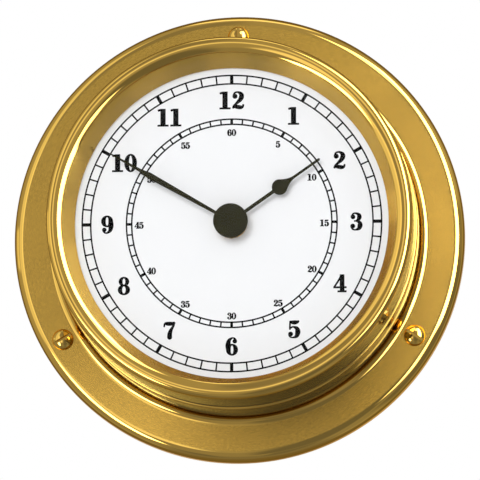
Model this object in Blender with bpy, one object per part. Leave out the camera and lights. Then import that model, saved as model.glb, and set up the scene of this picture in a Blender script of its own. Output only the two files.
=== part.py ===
"""Brass ship's clock with a quartz movement, as an assembly of separate pieces.

Every piece is drawn with the clock lying on its back: X to the right, Y towards twelve o'clock and
Z out of the dial, with Z = 0 on the mounting face. One empty then stands the clock against a bulkhead,
so that the dial looks along -Y with twelve o'clock at +Z. Lengths are in metres.
"""

from math import acos, asin, atan2, cos, hypot, pi, radians, sin, tan

import bmesh
import bpy

# Clearances
SEAT = 0.0003            # between two pieces that rest on each other
RUN_FIT = 0.00015        # radial, round a shaft that turns
LEVEL_GAP = 0.0004       # along the axis, between neighbouring wheels
MERGE = 0.000001

# Spun brass case with its mounting flange
WALL_RADIUS = 0.0505
FLANGE_WIDTH = 0.0120
FLANGE_HEIGHT = 0.0055
FLANGE_ROUND = 0.0030
SHEET = 0.0012
FOOT_FILLET = 0.0024
CASE_HEIGHT = 0.0225
CASE_LIP_ROUND = 0.0005

# Mounting screws through the flange, at twelve, four and eight o'clock
SCREW_NAMES = ("screw_top", "screw_lower_left", "screw_lower_right")
SCREW_SLOT_ANGLES = (radians(88), radians(30), radians(-33))
SCREW_SHANK_RADIUS = 0.0015
SCREW_SHANK_LENGTH = 0.0130
SCREW_POINT_LENGTH = 0.0040
SCREW_HEAD_RADIUS = 0.0029
SCREW_HEAD_HEIGHT = 0.0019
SCREW_SLOT_WIDTH = 0.0008
SCREW_SLOT_DEPTH = 0.0011

# Turned brass bezel, whose spigot drops into the case
BEZEL_STEP = 0.0005      # how far the bezel's side is set in from the case wall
BEZEL_HEIGHT = 0.0172
CREST_ROUND = 0.0016
LIP_OVERHANG = 0.0021
LIP_SLOPE = radians(40)    # of the lip's curve at its inner edge
LIP_EDGE = 0.0006
LIP_HEIGHT = 0.0030      # from the crest to the flat that presses on the seal
SEAL_LEDGE = 0.0013      # width of that flat
SPIGOT_WALL = 0.0012
SPIGOT_LENGTH = 0.0065

# Seal, glass, reflecting ring and dial, loaded into the bezel from behind
SEAL_WIDTH = 0.0007
SEAL_THICKNESS = 0.0005
GLASS_THICKNESS = 0.0015
REHAUT_TOP_WIDTH = 0.0007
REHAUT_WIDTH = 0.0045
REHAUT_SLOPE = radians(40)
REHAUT_EDGE = 0.0003
DIAL_THICKNESS = 0.0010
SNAP_WIRE_RADIUS = 0.0006
SNAP_RING_OPENING = radians(24)
GROOVE_PLAY = 0.00015

# Shafts, one inside the other, and what clamps the dial to the movement
ARBOR_RADIUS = 0.0005
MINUTE_TUBE_WALL = 0.0005
HOUR_PIPE_WALL = 0.0007
BUSH_WALL = 0.0008
BUSH_FLANGE_WIDTH = 0.0015
BUSH_FLANGE_THICKNESS = 0.0008
BUSH_PROUD = 0.0002
THREAD_PLAY = 0.0001
NUT_SIDES = 6
NUT_WALL = 0.0006
NUT_HEIGHT = 0.0010
NUT_WASHER_WIDTH = 0.0011
NUT_WASHER_THICKNESS = 0.0003
CUSHION_WIDTH = 0.0050
CUSHION_THICKNESS = 0.0010

# Hands, drawn pointing to twelve and then turned to the time shown
SHOWN_HOUR = 1
SHOWN_MINUTE = 50
HAND_THICKNESS = 0.0004
HAND_GAP = 0.0004
HAND_CLEARANCE = 0.0008
HAND_BOSS_RADIUS = 0.0040
HAND_PLAY = 0.0001
NEEDLE_WIDTH = 0.0006
HOUR_HAND_LENGTH = 0.0298
HOUR_ARM_WIDTH = 0.00095
LOBE_CENTRE = 0.0163
LOBE_RADIUS = 0.00215
LOBE_LEAVE_ANGLE = radians(25)    # where the taper leaves the lobe, from the lobe's widest line
LOBE_TAPER_SLOPE = radians(37)
LOBE_TAPER_LENGTH = 0.0050
MINUTE_TIP_MARGIN = 0.0045        # from the tip to the edge of the window
MINUTE_ARM_ROOT_WIDTH = 0.0008
MINUTE_ARM_END_WIDTH = 0.0017
MINUTE_SHOULDER = 0.0258
MINUTE_SHOULDER_LENGTH = 0.0025
HUB_CAP_RADIUS = 0.00475
HUB_CAP_HEIGHT = 0.0008
HUB_CAP_ROUND = 0.0003

# Gear teeth
PRESSURE_ANGLE = radians(20)
ADDENDUM = 1.0           # in modules
DEDENDUM = 1.25          # in modules
TOOTH_PLAY = 0.15        # share of the tooth taken off its width

# Motion work: minute tube to minute wheel to hour wheel, one to twelve
CANNON_TEETH = 8
MINUTE_WHEEL_TEETH = 32
MINUTE_PINION_TEETH = 8
HOUR_WHEEL_TEETH = 24
AXIS_DISTANCE = 0.0100   # from the shafts to the minute wheel and to the third wheel
MINUTE_WHEEL_ANGLE = radians(0)
SETTING_TEETH = 10
SETTING_ANGLE = radians(-18)

# Going train: rotor, fifth, fourth (one turn a minute), third and centre wheel (one turn an hour)
TRAIN_PINION_TEETH = 6
FIFTH_WHEEL_TEETH = 30
FOURTH_WHEEL_TEETH = 36
THIRD_WHEEL_TEETH = 45
CENTRE_WHEEL_TEETH = 48
TRAIN_MODULE = 0.00035   # of the rotor's and the fifth wheel's teeth
THIRD_ANGLE = radians(180)
FIFTH_ANGLE = radians(90)
ROTOR_ANGLE = radians(90)
WHEEL_THICKNESS = 0.0008
PIVOT_DEPTH = 0.0007
PIVOT_END_PLAY = 0.0001

# Stepping motor
MAGNET_RADIUS = 0.0015
MAGNET_HEIGHT = 0.0016
MAGNET_PLAY = 0.00005
STATOR_AIR_GAP = 0.0005
STATOR_WEB = 0.0006
STATOR_THICKNESS = 0.0010
STATOR_HALF_LENGTH = 0.0100
STATOR_LEG_WIDTH = 0.0022
CORE_WIDTH = 0.0014
CORE_THICKNESS = 0.0010
BOBBIN_WALL = 0.0004
BOBBIN_FLANGE_THICKNESS = 0.0006
BOBBIN_FLANGE_WIDTH = 0.0013
WINDING_THICKNESS = 0.0008

# Movement housing, cover, train plate and setting knob
HOUSING_WALL = 0.0012
HOUSING_ROUND = 0.0040
CHAMBER_ROUND = 0.0028
CHAMBER_MARGIN = 0.0012  # from the wheels and the motor to the chamber's walls
COVER_THICKNESS = 0.0012
COVER_LEDGE = 0.0008
PLATE_THICKNESS = 0.0008
PLATE_MARGIN = 0.0036
PLATE_ROUND = 0.0030
POST_RADIUS = 0.0014
POST_MARGIN = 0.0006     # from a post to the minute wheel
KNOB_RADIUS = 0.0055
KNOB_HEIGHT = 0.0030
KNOB_FLUTES = 18
KNOB_FLUTE_DEPTH = 0.0004
KNOB_STANDOFF = 0.0004

# Cell, contacts and circuit
BATTERY_RADIUS = 0.00715
BATTERY_LENGTH = 0.0490
BATTERY_CAP_RADIUS = 0.00275
BATTERY_CAP_LENGTH = 0.0014
BATTERY_EDGE = 0.0005
BATTERY_SINK = 0.0002
BATTERY_SIDE_PLAY = 0.0004
CONTACT_THICKNESS = 0.0004
CONTACT_WIDTH = 0.0080
CONTACT_BOW = 0.0008
BOARD_THICKNESS = 0.0010
BOARD_MARGIN = 0.0006
BOARD_HEIGHT = 0.0110
CRYSTAL_LINE = 0.0028    # above the board's lower edge
CRYSTAL_INSET = 0.0038   # from the board's left edge
CRYSTAL_RADIUS = 0.0010
CRYSTAL_LENGTH = 0.0060
CHIP_LINE = 0.0073       # above the board's lower edge
CHIP_SIZE = 0.0042
CHIP_ROUND = 0.0004
CHIP_HEIGHT = 0.0010

# Facets
ROUND_STEPS = 48
SMALL_STEPS = 16
ARBOR_STEPS = 8
CAP_STEPS = 24
ARC_STEPS = 3
DOME_STEPS = 4
BOSS_STEPS = 6
LOBE_STEPS = 5
BOW_STEPS = 6
WIRE_STEPS = 6
WIRE_RUN_STEPS = 32
SHARP_EDGE = radians(32)

# Radii that follow from the sizes above
FLANGE_RADIUS = WALL_RADIUS + FLANGE_WIDTH
SCREW_CIRCLE_RADIUS = (FLANGE_RADIUS - FLANGE_ROUND + WALL_RADIUS + FOOT_FILLET) / 2
CASE_BORE = WALL_RADIUS - SHEET
BEZEL_RADIUS = WALL_RADIUS - BEZEL_STEP
SPIGOT_RADIUS = CASE_BORE - SEAT
BEZEL_BORE = SPIGOT_RADIUS - SPIGOT_WALL
LIP_RADIUS = BEZEL_BORE - LIP_OVERHANG
INSERT_RADIUS = BEZEL_BORE - SEAT
WINDOW_RADIUS = INSERT_RADIUS - REHAUT_WIDTH
MINUTE_HAND_LENGTH = WINDOW_RADIUS - MINUTE_TIP_MARGIN
GROOVE_RADIUS = BEZEL_BORE + SNAP_WIRE_RADIUS
SNAP_RING_RADIUS = GROOVE_RADIUS - GROOVE_PLAY - SNAP_WIRE_RADIUS
MINUTE_TUBE_BORE = ARBOR_RADIUS + RUN_FIT
MINUTE_TUBE_RADIUS = MINUTE_TUBE_BORE + MINUTE_TUBE_WALL
HOUR_PIPE_BORE = MINUTE_TUBE_RADIUS + RUN_FIT
HOUR_PIPE_RADIUS = HOUR_PIPE_BORE + HOUR_PIPE_WALL
BUSH_BORE = HOUR_PIPE_RADIUS + RUN_FIT
BUSH_RADIUS = BUSH_BORE + BUSH_WALL
BUSH_HOLE = BUSH_RADIUS + SEAT
NUT_BORE = BUSH_RADIUS + THREAD_PLAY
NUT_CORNER_RADIUS = (NUT_BORE + NUT_WALL) / cos(pi / NUT_SIDES)

# Heights, from the bezel's crest down to the dial
BEZEL_FOOT = CASE_HEIGHT + SEAT
CREST = BEZEL_FOOT + BEZEL_HEIGHT
LIP_UNDERSIDE = CREST - LIP_HEIGHT
SEAL_TOP = LIP_UNDERSIDE - SEAT
SEAL_BOTTOM = SEAL_TOP - SEAL_THICKNESS
GLASS_TOP = SEAL_BOTTOM - SEAT
GLASS_BOTTOM = GLASS_TOP - GLASS_THICKNESS
REHAUT_TOP = GLASS_BOTTOM - SEAT
HUB_CAP_TOP = GLASS_BOTTOM - HAND_CLEARANCE
HUB_CAP_BOTTOM = HUB_CAP_TOP - HUB_CAP_HEIGHT
MINUTE_HAND_TOP = HUB_CAP_BOTTOM - SEAT
MINUTE_HAND_BOTTOM = MINUTE_HAND_TOP - HAND_THICKNESS
HOUR_HAND_TOP = MINUTE_HAND_BOTTOM - HAND_GAP
HOUR_HAND_BOTTOM = HOUR_HAND_TOP - HAND_THICKNESS
BUSH_TOP = HOUR_HAND_BOTTOM - HAND_GAP
NUT_TOP = BUSH_TOP - BUSH_PROUD
NUT_BOTTOM = NUT_TOP - NUT_HEIGHT
NUT_WASHER_TOP = NUT_BOTTOM - SEAT
NUT_WASHER_BOTTOM = NUT_WASHER_TOP - NUT_WASHER_THICKNESS
DIAL_FACE = NUT_WASHER_BOTTOM - SEAT
REHAUT_BOTTOM = DIAL_FACE + SEAT
DIAL_BACK = DIAL_FACE - DIAL_THICKNESS
SNAP_RING_HEIGHT = DIAL_BACK - SEAT - SNAP_WIRE_RADIUS

# Heights, from the dial back through the movement
CUSHION_TOP = DIAL_BACK - SEAT
CUSHION_BOTTOM = CUSHION_TOP - CUSHION_THICKNESS
HOUSING_FRONT = CUSHION_BOTTOM - SEAT
HOUSING_FLOOR = HOUSING_FRONT - HOUSING_WALL
BATTERY_HEIGHT = HOUSING_FLOOR - SEAT - BATTERY_RADIUS
BUSH_FLANGE_TOP = HOUSING_FLOOR - SEAT
BUSH_FLANGE_BOTTOM = BUSH_FLANGE_TOP - BUSH_FLANGE_THICKNESS
LEVEL_STEP = WHEEL_THICKNESS + LEVEL_GAP
HOUR_LEVEL = BUSH_FLANGE_BOTTOM - LEVEL_STEP
MINUTE_LEVEL = HOUR_LEVEL - LEVEL_STEP
CENTRE_LEVEL = MINUTE_LEVEL - LEVEL_STEP
PLATE_BOTTOM = CENTRE_LEVEL - LEVEL_GAP - PLATE_THICKNESS
PLATE_TOP = PLATE_BOTTOM + PLATE_THICKNESS
THIRD_LEVEL = PLATE_BOTTOM - LEVEL_STEP
FOURTH_LEVEL = THIRD_LEVEL - LEVEL_STEP
FIFTH_LEVEL = FOURTH_LEVEL - LEVEL_STEP
MAGNET_TOP = FIFTH_LEVEL - LEVEL_GAP
MAGNET_BOTTOM = MAGNET_TOP - MAGNET_HEIGHT
CELL_BACK = BATTERY_HEIGHT - BATTERY_RADIUS - BATTERY_SINK
HOUSING_BACK = min(CELL_BACK, MAGNET_BOTTOM - CHAMBER_MARGIN - COVER_THICKNESS)
COVER_FACE = HOUSING_BACK + COVER_THICKNESS
STATOR_BOTTOM = (MAGNET_TOP + MAGNET_BOTTOM - STATOR_THICKNESS) / 2
STATOR_TOP = STATOR_BOTTOM + STATOR_THICKNESS
CORE_BOTTOM = STATOR_TOP + SEAT
COIL_HEIGHT = CORE_BOTTOM + CORE_THICKNESS / 2
FRONT_PIVOT = HOUSING_FLOOR + PIVOT_DEPTH - PIVOT_END_PLAY
BACK_PIVOT = COVER_FACE - PIVOT_DEPTH + PIVOT_END_PLAY
PLATE_PIVOT_FROM_FRONT = PLATE_BOTTOM + PIVOT_END_PLAY
PLATE_PIVOT_FROM_BACK = PLATE_TOP - PIVOT_END_PLAY
KNOB_TOP = HOUSING_BACK - KNOB_STANDOFF
KNOB_BOTTOM = KNOB_TOP - KNOB_HEIGHT


def polar(distance, angle, start=(0.0, 0.0)):
    """Point at a distance and angle from a start point."""
    return (start[0] + distance * cos(angle), start[1] + distance * sin(angle))


# Wheel centres, from the tooth counts and modules
CANNON_MODULE = 2 * AXIS_DISTANCE / (CANNON_TEETH + MINUTE_WHEEL_TEETH)
HOUR_MODULE = 2 * AXIS_DISTANCE / (MINUTE_PINION_TEETH + HOUR_WHEEL_TEETH)
CENTRE_MODULE = 2 * AXIS_DISTANCE / (TRAIN_PINION_TEETH + CENTRE_WHEEL_TEETH)
THIRD_MODULE = 2 * AXIS_DISTANCE / (TRAIN_PINION_TEETH + THIRD_WHEEL_TEETH)
SETTING_DISTANCE = CANNON_MODULE * (MINUTE_WHEEL_TEETH + SETTING_TEETH) / 2
FIFTH_DISTANCE = TRAIN_MODULE * (TRAIN_PINION_TEETH + FOURTH_WHEEL_TEETH) / 2
ROTOR_DISTANCE = TRAIN_MODULE * (TRAIN_PINION_TEETH + FIFTH_WHEEL_TEETH) / 2
SHAFT_AXIS = (0.0, 0.0)
MINUTE_WHEEL_AXIS = polar(AXIS_DISTANCE, MINUTE_WHEEL_ANGLE)
SETTING_AXIS = polar(SETTING_DISTANCE, SETTING_ANGLE, MINUTE_WHEEL_AXIS)
THIRD_AXIS = polar(AXIS_DISTANCE, THIRD_ANGLE)
FIFTH_AXIS = polar(FIFTH_DISTANCE, FIFTH_ANGLE)
ROTOR_AXIS = polar(ROTOR_DISTANCE, ROTOR_ANGLE, FIFTH_AXIS)
MINUTE_WHEEL_TIP = CANNON_MODULE * (MINUTE_WHEEL_TEETH / 2 + ADDENDUM)
SETTING_TIP = CANNON_MODULE * (SETTING_TEETH / 2 + ADDENDUM)
PIVOT_HOLE = ARBOR_RADIUS + RUN_FIT

# Motor, cell and housing, laid out round the wheels
STATOR_HOLE = MAGNET_RADIUS + STATOR_AIR_GAP
STATOR_BOTTOM_EDGE = ROTOR_AXIS[1] - STATOR_HOLE - STATOR_WEB
STATOR_TOP_EDGE = ROTOR_AXIS[1] + STATOR_HOLE + STATOR_WEB
BOBBIN_BORE = hypot(CORE_WIDTH, CORE_THICKNESS) / 2 + SEAT
BOBBIN_RADIUS = BOBBIN_BORE + BOBBIN_WALL
BOBBIN_FLANGE_RADIUS = BOBBIN_RADIUS + BOBBIN_FLANGE_WIDTH
BOBBIN_HALF_LENGTH = STATOR_HALF_LENGTH - STATOR_LEG_WIDTH - SEAT
COIL_AXIS_Y = STATOR_TOP_EDGE + SEAT + BOBBIN_FLANGE_RADIUS
CHAMBER_TOP = COIL_AXIS_Y + BOBBIN_FLANGE_RADIUS + SEAT
POST_LINE = -MINUTE_WHEEL_TIP - POST_MARGIN - POST_RADIUS
PLATE_EDGE = POST_LINE - POST_RADIUS - SEAT
CHAMBER_BOTTOM = PLATE_EDGE - SEAT
BAY_TOP = CHAMBER_BOTTOM - COVER_LEDGE - HOUSING_WALL
BATTERY_AXIS_Y = BAY_TOP - BATTERY_SIDE_PLAY - BATTERY_RADIUS
BAY_BOTTOM = BATTERY_AXIS_Y - BATTERY_RADIUS - BATTERY_SIDE_PLAY
CELL_HALF_LENGTH = (BATTERY_LENGTH + BATTERY_CAP_LENGTH) / 2
BAY_HALF_LENGTH = CELL_HALF_LENGTH + SEAT + CONTACT_BOW + CONTACT_THICKNESS + SEAT
CHAMBER_HALF_WIDTH = max(BAY_HALF_LENGTH - COVER_LEDGE, SETTING_AXIS[0] + SETTING_TIP + CHAMBER_MARGIN)
HOUSING_HALF_WIDTH = CHAMBER_HALF_WIDTH + COVER_LEDGE + HOUSING_WALL
HOUSING_TOP_EDGE = CHAMBER_TOP + HOUSING_WALL
HOUSING_BOTTOM_EDGE = BAY_BOTTOM - HOUSING_WALL


def make_material(name, colour, roughness, metallic=0.0, transmission=0.0):
    """Principled material with a plain colour."""
    material = bpy.data.materials.new(name)
    material.use_nodes = True
    shader = material.node_tree.nodes["Principled BSDF"]
    shader.inputs["Base Color"].default_value = (*colour, 1.0)
    shader.inputs["Roughness"].default_value = roughness
    shader.inputs["Metallic"].default_value = metallic
    shader.inputs["Transmission Weight"].default_value = transmission
    material.diffuse_color = (*colour, 1.0)
    return material


def make_materials():
    """The clock's materials by name."""
    return {
        "satin_brass": make_material("satin_brass", (0.72, 0.50, 0.16), 0.32, metallic=1.0),
        "polished_brass": make_material("polished_brass", (0.76, 0.55, 0.19), 0.12, metallic=1.0),
        "turned_brass": make_material("turned_brass", (0.70, 0.50, 0.20), 0.35, metallic=1.0),
        "dial_white": make_material("dial_white", (0.93, 0.93, 0.92), 0.45),
        "hand_lacquer": make_material("hand_lacquer", (0.020, 0.018, 0.006), 0.45),
        "glass": make_material("glass", (1.0, 1.0, 1.0), 0.02, transmission=1.0),
        "rubber": make_material("rubber", (0.02, 0.02, 0.02), 0.70),
        "steel": make_material("steel", (0.56, 0.56, 0.55), 0.30, metallic=1.0),
        "black_plastic": make_material("black_plastic", (0.025, 0.025, 0.027), 0.50),
        "white_plastic": make_material("white_plastic", (0.78, 0.77, 0.72), 0.45),
        "magnet": make_material("magnet", (0.16, 0.16, 0.17), 0.40, metallic=1.0),
        "copper": make_material("copper", (0.60, 0.22, 0.09), 0.35, metallic=1.0),
        "circuit_green": make_material("circuit_green", (0.03, 0.16, 0.07), 0.45),
        "cell_sleeve": make_material("cell_sleeve", (0.10, 0.10, 0.11), 0.35),
    }


def finish(name, bm, material, place=SHAFT_AXIS):
    """Turn a bmesh into a named object under the clock's own empty."""
    bmesh.ops.recalc_face_normals(bm, faces=bm.faces)
    mesh = bpy.data.meshes.new(name)
    bm.to_mesh(mesh)
    bm.free()
    mesh.shade_smooth()
    mesh.set_sharp_from_angle(angle=SHARP_EDGE)
    mesh.materials.append(MATERIALS[material])
    piece = bpy.data.objects.new(name, mesh)
    bpy.context.scene.collection.objects.link(piece)
    piece.parent = CLOCK
    piece.location = (place[0], place[1], 0.0)
    return piece


def arc(centre, radius, start, end, steps=ARC_STEPS, rise=None):
    """Points along a round or, with a rise, an elliptical arc."""
    rise = radius if rise is None else rise
    turns = [start + (end - start) * i / steps for i in range(steps + 1)]
    return [(centre[0] + radius * cos(turn), centre[1] + rise * sin(turn)) for turn in turns]


def circle(radius, steps, centre=(0.0, 0.0)):
    """Corners of a regular polygon that stands in for a circle."""
    return [polar(radius, 2 * pi * i / steps, centre) for i in range(steps)]


def rectangle(left, right, bottom, top, radius):
    """Rectangle with rounded corners."""
    quarters = (
        ((right - radius, top - radius), 0.0),
        ((left + radius, top - radius), pi / 2),
        ((left + radius, bottom + radius), pi),
        ((right - radius, bottom + radius), 3 * pi / 2),
    )
    return [point for centre, turn in quarters for point in arc(centre, radius, turn, turn + pi / 2)]


def turned(name, section, material, steps=ROUND_STEPS, place=SHAFT_AXIS, closed=True):
    """Turn a (radius, height) section about Z. An open section starts and ends on the axis."""
    bm = bmesh.new()
    corners = [bm.verts.new((radius, 0.0, height)) for radius, height in section]
    ends = corners[1:] + corners[:1] if closed else corners[1:]
    edges = [bm.edges.new(pair) for pair in zip(corners, ends)]
    bmesh.ops.spin(bm, geom=corners + edges, cent=(0, 0, 0), axis=(0, 0, 1), angle=2 * pi,
                   steps=steps, use_merge=True)
    bmesh.ops.remove_doubles(bm, verts=bm.verts, dist=MERGE)
    return finish(name, bm, material, place)


def ring(name, inner, outer, bottom, top, material, steps=ROUND_STEPS):
    """Flat ring or washer about the clock's axis."""
    return turned(name, [(inner, bottom), (outer, bottom), (outer, top), (inner, top)], material, steps)


def disc(name, radius, bottom, top, material, steps):
    """Plain round plate or rod along Z."""
    section = [(0.0, bottom), (radius, bottom), (radius, top), (0.0, top)]
    return turned(name, section, material, steps, closed=False)


def add_wall(bm, outline, bottom, top):
    """Side faces of a prism. Returns its bottom and top loops."""
    foot = [bm.verts.new((x, y, bottom)) for x, y in outline]
    head = [bm.verts.new((x, y, top)) for x, y in outline]
    for i in range(len(outline)):
        bm.faces.new((foot[i - 1], foot[i], head[i], head[i - 1]))
    return foot, head


def loop_edges(bm, loop):
    """Edges that join a loop of corners."""
    return [bm.edges.get((loop[i - 1], loop[i])) for i in range(len(loop))]


def stacked(name, levels, material, place=SHAFT_AXIS):
    """Prisms that stand on one another as one solid. Each level is (outline, bottom, top)."""
    bm = bmesh.new()
    below = None
    for outline, bottom, top in levels:
        foot, head = add_wall(bm, outline, bottom, top)
        if below is None:
            bm.faces.new(foot)
        else:
            rims = loop_edges(bm, below) + loop_edges(bm, foot)
            bmesh.ops.triangle_fill(bm, use_beauty=True, use_dissolve=False, edges=rims)
        below = head
    bm.faces.new(below)
    return finish(name, bm, material, place)


def prisms(name, levels, material, place=SHAFT_AXIS):
    """Separate prisms in one object, for cutting or joining."""
    bm = bmesh.new()
    for outline, bottom, top in levels:
        for loop in add_wall(bm, outline, bottom, top):
            bm.faces.new(loop)
    return finish(name, bm, material, place)


def combine(piece, tool, operation):
    """Join a tool to a piece or cut it out of it, and leave the tool as a hidden guide."""
    boolean = piece.modifiers.new(tool.name, 'BOOLEAN')
    boolean.operation = operation
    boolean.object = tool
    tool.hide_render = True
    tool.display_type = 'WIRE'


def bore(piece, radius, bottom, top, steps=SMALL_STEPS):
    """Round hole along a piece's own axis."""
    place = (piece.location.x, piece.location.y)
    tool = prisms(piece.name + "_bore", [(circle(radius, steps), bottom, top)], "steel", place)
    combine(piece, tool, 'DIFFERENCE')


def make_case():
    """Spun sheet case: rolled flange, foot fillet and straight wall, open behind."""
    edge = (FLANGE_RADIUS - FLANGE_ROUND, FLANGE_HEIGHT - FLANGE_ROUND)
    foot = (WALL_RADIUS + FOOT_FILLET, FLANGE_HEIGHT + FOOT_FILLET)
    lip = (WALL_RADIUS - CASE_LIP_ROUND, CASE_HEIGHT - CASE_LIP_ROUND)
    outside = [(FLANGE_RADIUS, 0.0)]
    outside += arc(edge, FLANGE_ROUND, 0.0, pi / 2)
    outside += arc(foot, FOOT_FILLET, 3 * pi / 2, pi)
    outside += arc(lip, CASE_LIP_ROUND, 0.0, pi / 2, steps=2)
    inside = [(CASE_BORE, CASE_HEIGHT)]
    inside += arc(foot, FOOT_FILLET + SHEET, pi, 3 * pi / 2, steps=2)
    inside += arc(edge, FLANGE_ROUND - SHEET, pi / 2, 0.0, steps=2)
    inside += [(FLANGE_RADIUS - SHEET, 0.0)]
    case = turned("flange_case", outside + inside, "satin_brass")
    hole = circle(SCREW_SHANK_RADIUS + SEAT, ARBOR_STEPS)
    levels = []
    for place in screw_places():
        outline = [(x + place[0], y + place[1]) for x, y in hole]
        levels.append((outline, FLANGE_HEIGHT - 2 * SHEET, FLANGE_HEIGHT + SHEET))
    combine(case, prisms("flange_holes", levels, "steel"), 'DIFFERENCE')


def screw_places():
    """Screw centres on the flange, counted anticlockwise from twelve o'clock."""
    count = len(SCREW_NAMES)
    return [polar(SCREW_CIRCLE_RADIUS, pi / 2 + 2 * pi * i / count) for i in range(count)]


def make_screw(name, place, slot_angle):
    """Round-headed wood screw with a straight slot."""
    seat = FLANGE_HEIGHT + SEAT
    tip = seat - SCREW_SHANK_LENGTH
    section = [(0.0, tip), (SCREW_SHANK_RADIUS, tip + SCREW_POINT_LENGTH), (SCREW_SHANK_RADIUS, seat)]
    section += arc((0.0, seat), SCREW_HEAD_RADIUS, 0.0, pi / 2, steps=DOME_STEPS, rise=SCREW_HEAD_HEIGHT)
    section[-1] = (0.0, seat + SCREW_HEAD_HEIGHT)
    screw = turned(name, section, "polished_brass", SMALL_STEPS, place, closed=False)
    reach = SCREW_HEAD_RADIUS + SEAT
    half = SCREW_SLOT_WIDTH / 2
    outline = [(-reach, -half), (reach, -half), (reach, half), (-reach, half)]
    floor = seat + SCREW_HEAD_HEIGHT - SCREW_SLOT_DEPTH
    slot = prisms(name + "_slot", [(outline, floor, seat + 2 * SCREW_HEAD_HEIGHT)], "steel", place)
    slot.rotation_euler.z = slot_angle
    combine(screw, slot, 'DIFFERENCE')


def make_bezel():
    """Turned bezel: spigot, plain side, rounded crest, curved lip over the glass, and a ring groove."""
    crest = (BEZEL_RADIUS - CREST_ROUND, CREST - CREST_ROUND)
    sweep = (crest[0] - LIP_RADIUS) / sin(LIP_SLOPE)
    lip = arc((crest[0], CREST - sweep), sweep, pi / 2, pi / 2 + LIP_SLOPE)
    groove_half = SNAP_WIRE_RADIUS + GROOVE_PLAY
    spigot_end = CASE_HEIGHT - SPIGOT_LENGTH
    section = [(SPIGOT_RADIUS, spigot_end), (SPIGOT_RADIUS, BEZEL_FOOT), (BEZEL_RADIUS, BEZEL_FOOT)]
    section += arc(crest, CREST_ROUND, 0.0, pi / 2)
    section += lip[1:]
    section += [(LIP_RADIUS, lip[-1][1] - LIP_EDGE), (BEZEL_BORE - SEAL_LEDGE, LIP_UNDERSIDE)]
    section += [(BEZEL_BORE, LIP_UNDERSIDE)]
    groove_top = SNAP_RING_HEIGHT + groove_half
    groove_bottom = SNAP_RING_HEIGHT - groove_half
    section += [(BEZEL_BORE, groove_top), (GROOVE_RADIUS, groove_top)]
    section += [(GROOVE_RADIUS, groove_bottom), (BEZEL_BORE, groove_bottom)]
    section += [(BEZEL_BORE, spigot_end)]
    turned("bezel", section, "polished_brass")


def make_window():
    """Rubber seal, flat glass and the conical ring that holds the glass off the dial."""
    ring("glass_seal", INSERT_RADIUS - SEAL_WIDTH, INSERT_RADIUS, SEAL_BOTTOM, SEAL_TOP, "rubber")
    disc("glass", INSERT_RADIUS, GLASS_BOTTOM, GLASS_TOP, "glass", ROUND_STEPS)
    top_inside = INSERT_RADIUS - REHAUT_TOP_WIDTH
    cone_foot = REHAUT_BOTTOM + REHAUT_EDGE
    rehaut = [
        (WINDOW_RADIUS, REHAUT_BOTTOM),
        (INSERT_RADIUS, REHAUT_BOTTOM),
        (INSERT_RADIUS, REHAUT_TOP),
        (top_inside, REHAUT_TOP),
        (top_inside, cone_foot + (top_inside - WINDOW_RADIUS) * tan(REHAUT_SLOPE)),
        (WINDOW_RADIUS, cone_foot),
    ]
    turned("rehaut_ring", rehaut, "polished_brass")


def make_snap_ring():
    """Open ring of spring wire in the bezel's groove, which holds the dial against the reflecting ring."""
    bm = bmesh.new()
    wire = arc((SNAP_RING_RADIUS, SNAP_RING_HEIGHT), SNAP_WIRE_RADIUS, 0.0, 2 * pi, steps=WIRE_STEPS)[:-1]
    end = bm.faces.new([bm.verts.new((radius, 0.0, height)) for radius, height in wire])
    sweep = 2 * pi - SNAP_RING_OPENING
    bmesh.ops.spin(bm, geom=[end], cent=(0, 0, 0), axis=(0, 0, 1), angle=sweep, steps=WIRE_RUN_STEPS)
    snap_ring = finish("dial_snap_ring", bm, "steel")
    snap_ring.rotation_euler.z = (SNAP_RING_OPENING - pi) / 2


def make_dial():
    """Dial plate, and the washer, nut and cushion that clamp it to the movement."""
    ring("dial", BUSH_HOLE, INSERT_RADIUS, DIAL_BACK, DIAL_FACE, "dial_white")
    washer = BUSH_HOLE + NUT_WASHER_WIDTH
    ring("nut_washer", BUSH_HOLE, washer, NUT_WASHER_BOTTOM, NUT_WASHER_TOP, "turned_brass", SMALL_STEPS)
    nut = prisms("fixing_nut", [(circle(NUT_CORNER_RADIUS, NUT_SIDES), NUT_BOTTOM, NUT_TOP)], "turned_brass")
    bore(nut, NUT_BORE, NUT_BOTTOM - SEAT, NUT_TOP + SEAT)
    cushion = BUSH_HOLE + CUSHION_WIDTH
    ring("dial_cushion", BUSH_HOLE, cushion, CUSHION_BOTTOM, CUSHION_TOP, "rubber", SMALL_STEPS)


def mirrored(half):
    """Close an outline whose right half runs from the bottom to the top of the Y axis."""
    return half + [(-x, y) for x, y in reversed(half[1:-1])]


def boss_arc(arm_half_width):
    """Right half of a hand's boss, from its bottom to where the arm leaves it."""
    leave = pi / 2 - asin(arm_half_width / HAND_BOSS_RADIUS)
    return arc((0.0, 0.0), HAND_BOSS_RADIUS, -pi / 2, leave, steps=BOSS_STEPS)


def bend(start, corner, end, steps):
    """Points of a curve that leaves its start and reaches its end along lines through the corner."""
    points = []
    for i in range(1, steps + 1):
        t = i / steps
        weights = ((1 - t) ** 2, 2 * t * (1 - t), t ** 2)
        x = sum(weight * point[0] for weight, point in zip(weights, (start, corner, end)))
        y = sum(weight * point[1] for weight, point in zip(weights, (start, corner, end)))
        points.append((x, y))
    return points


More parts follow.
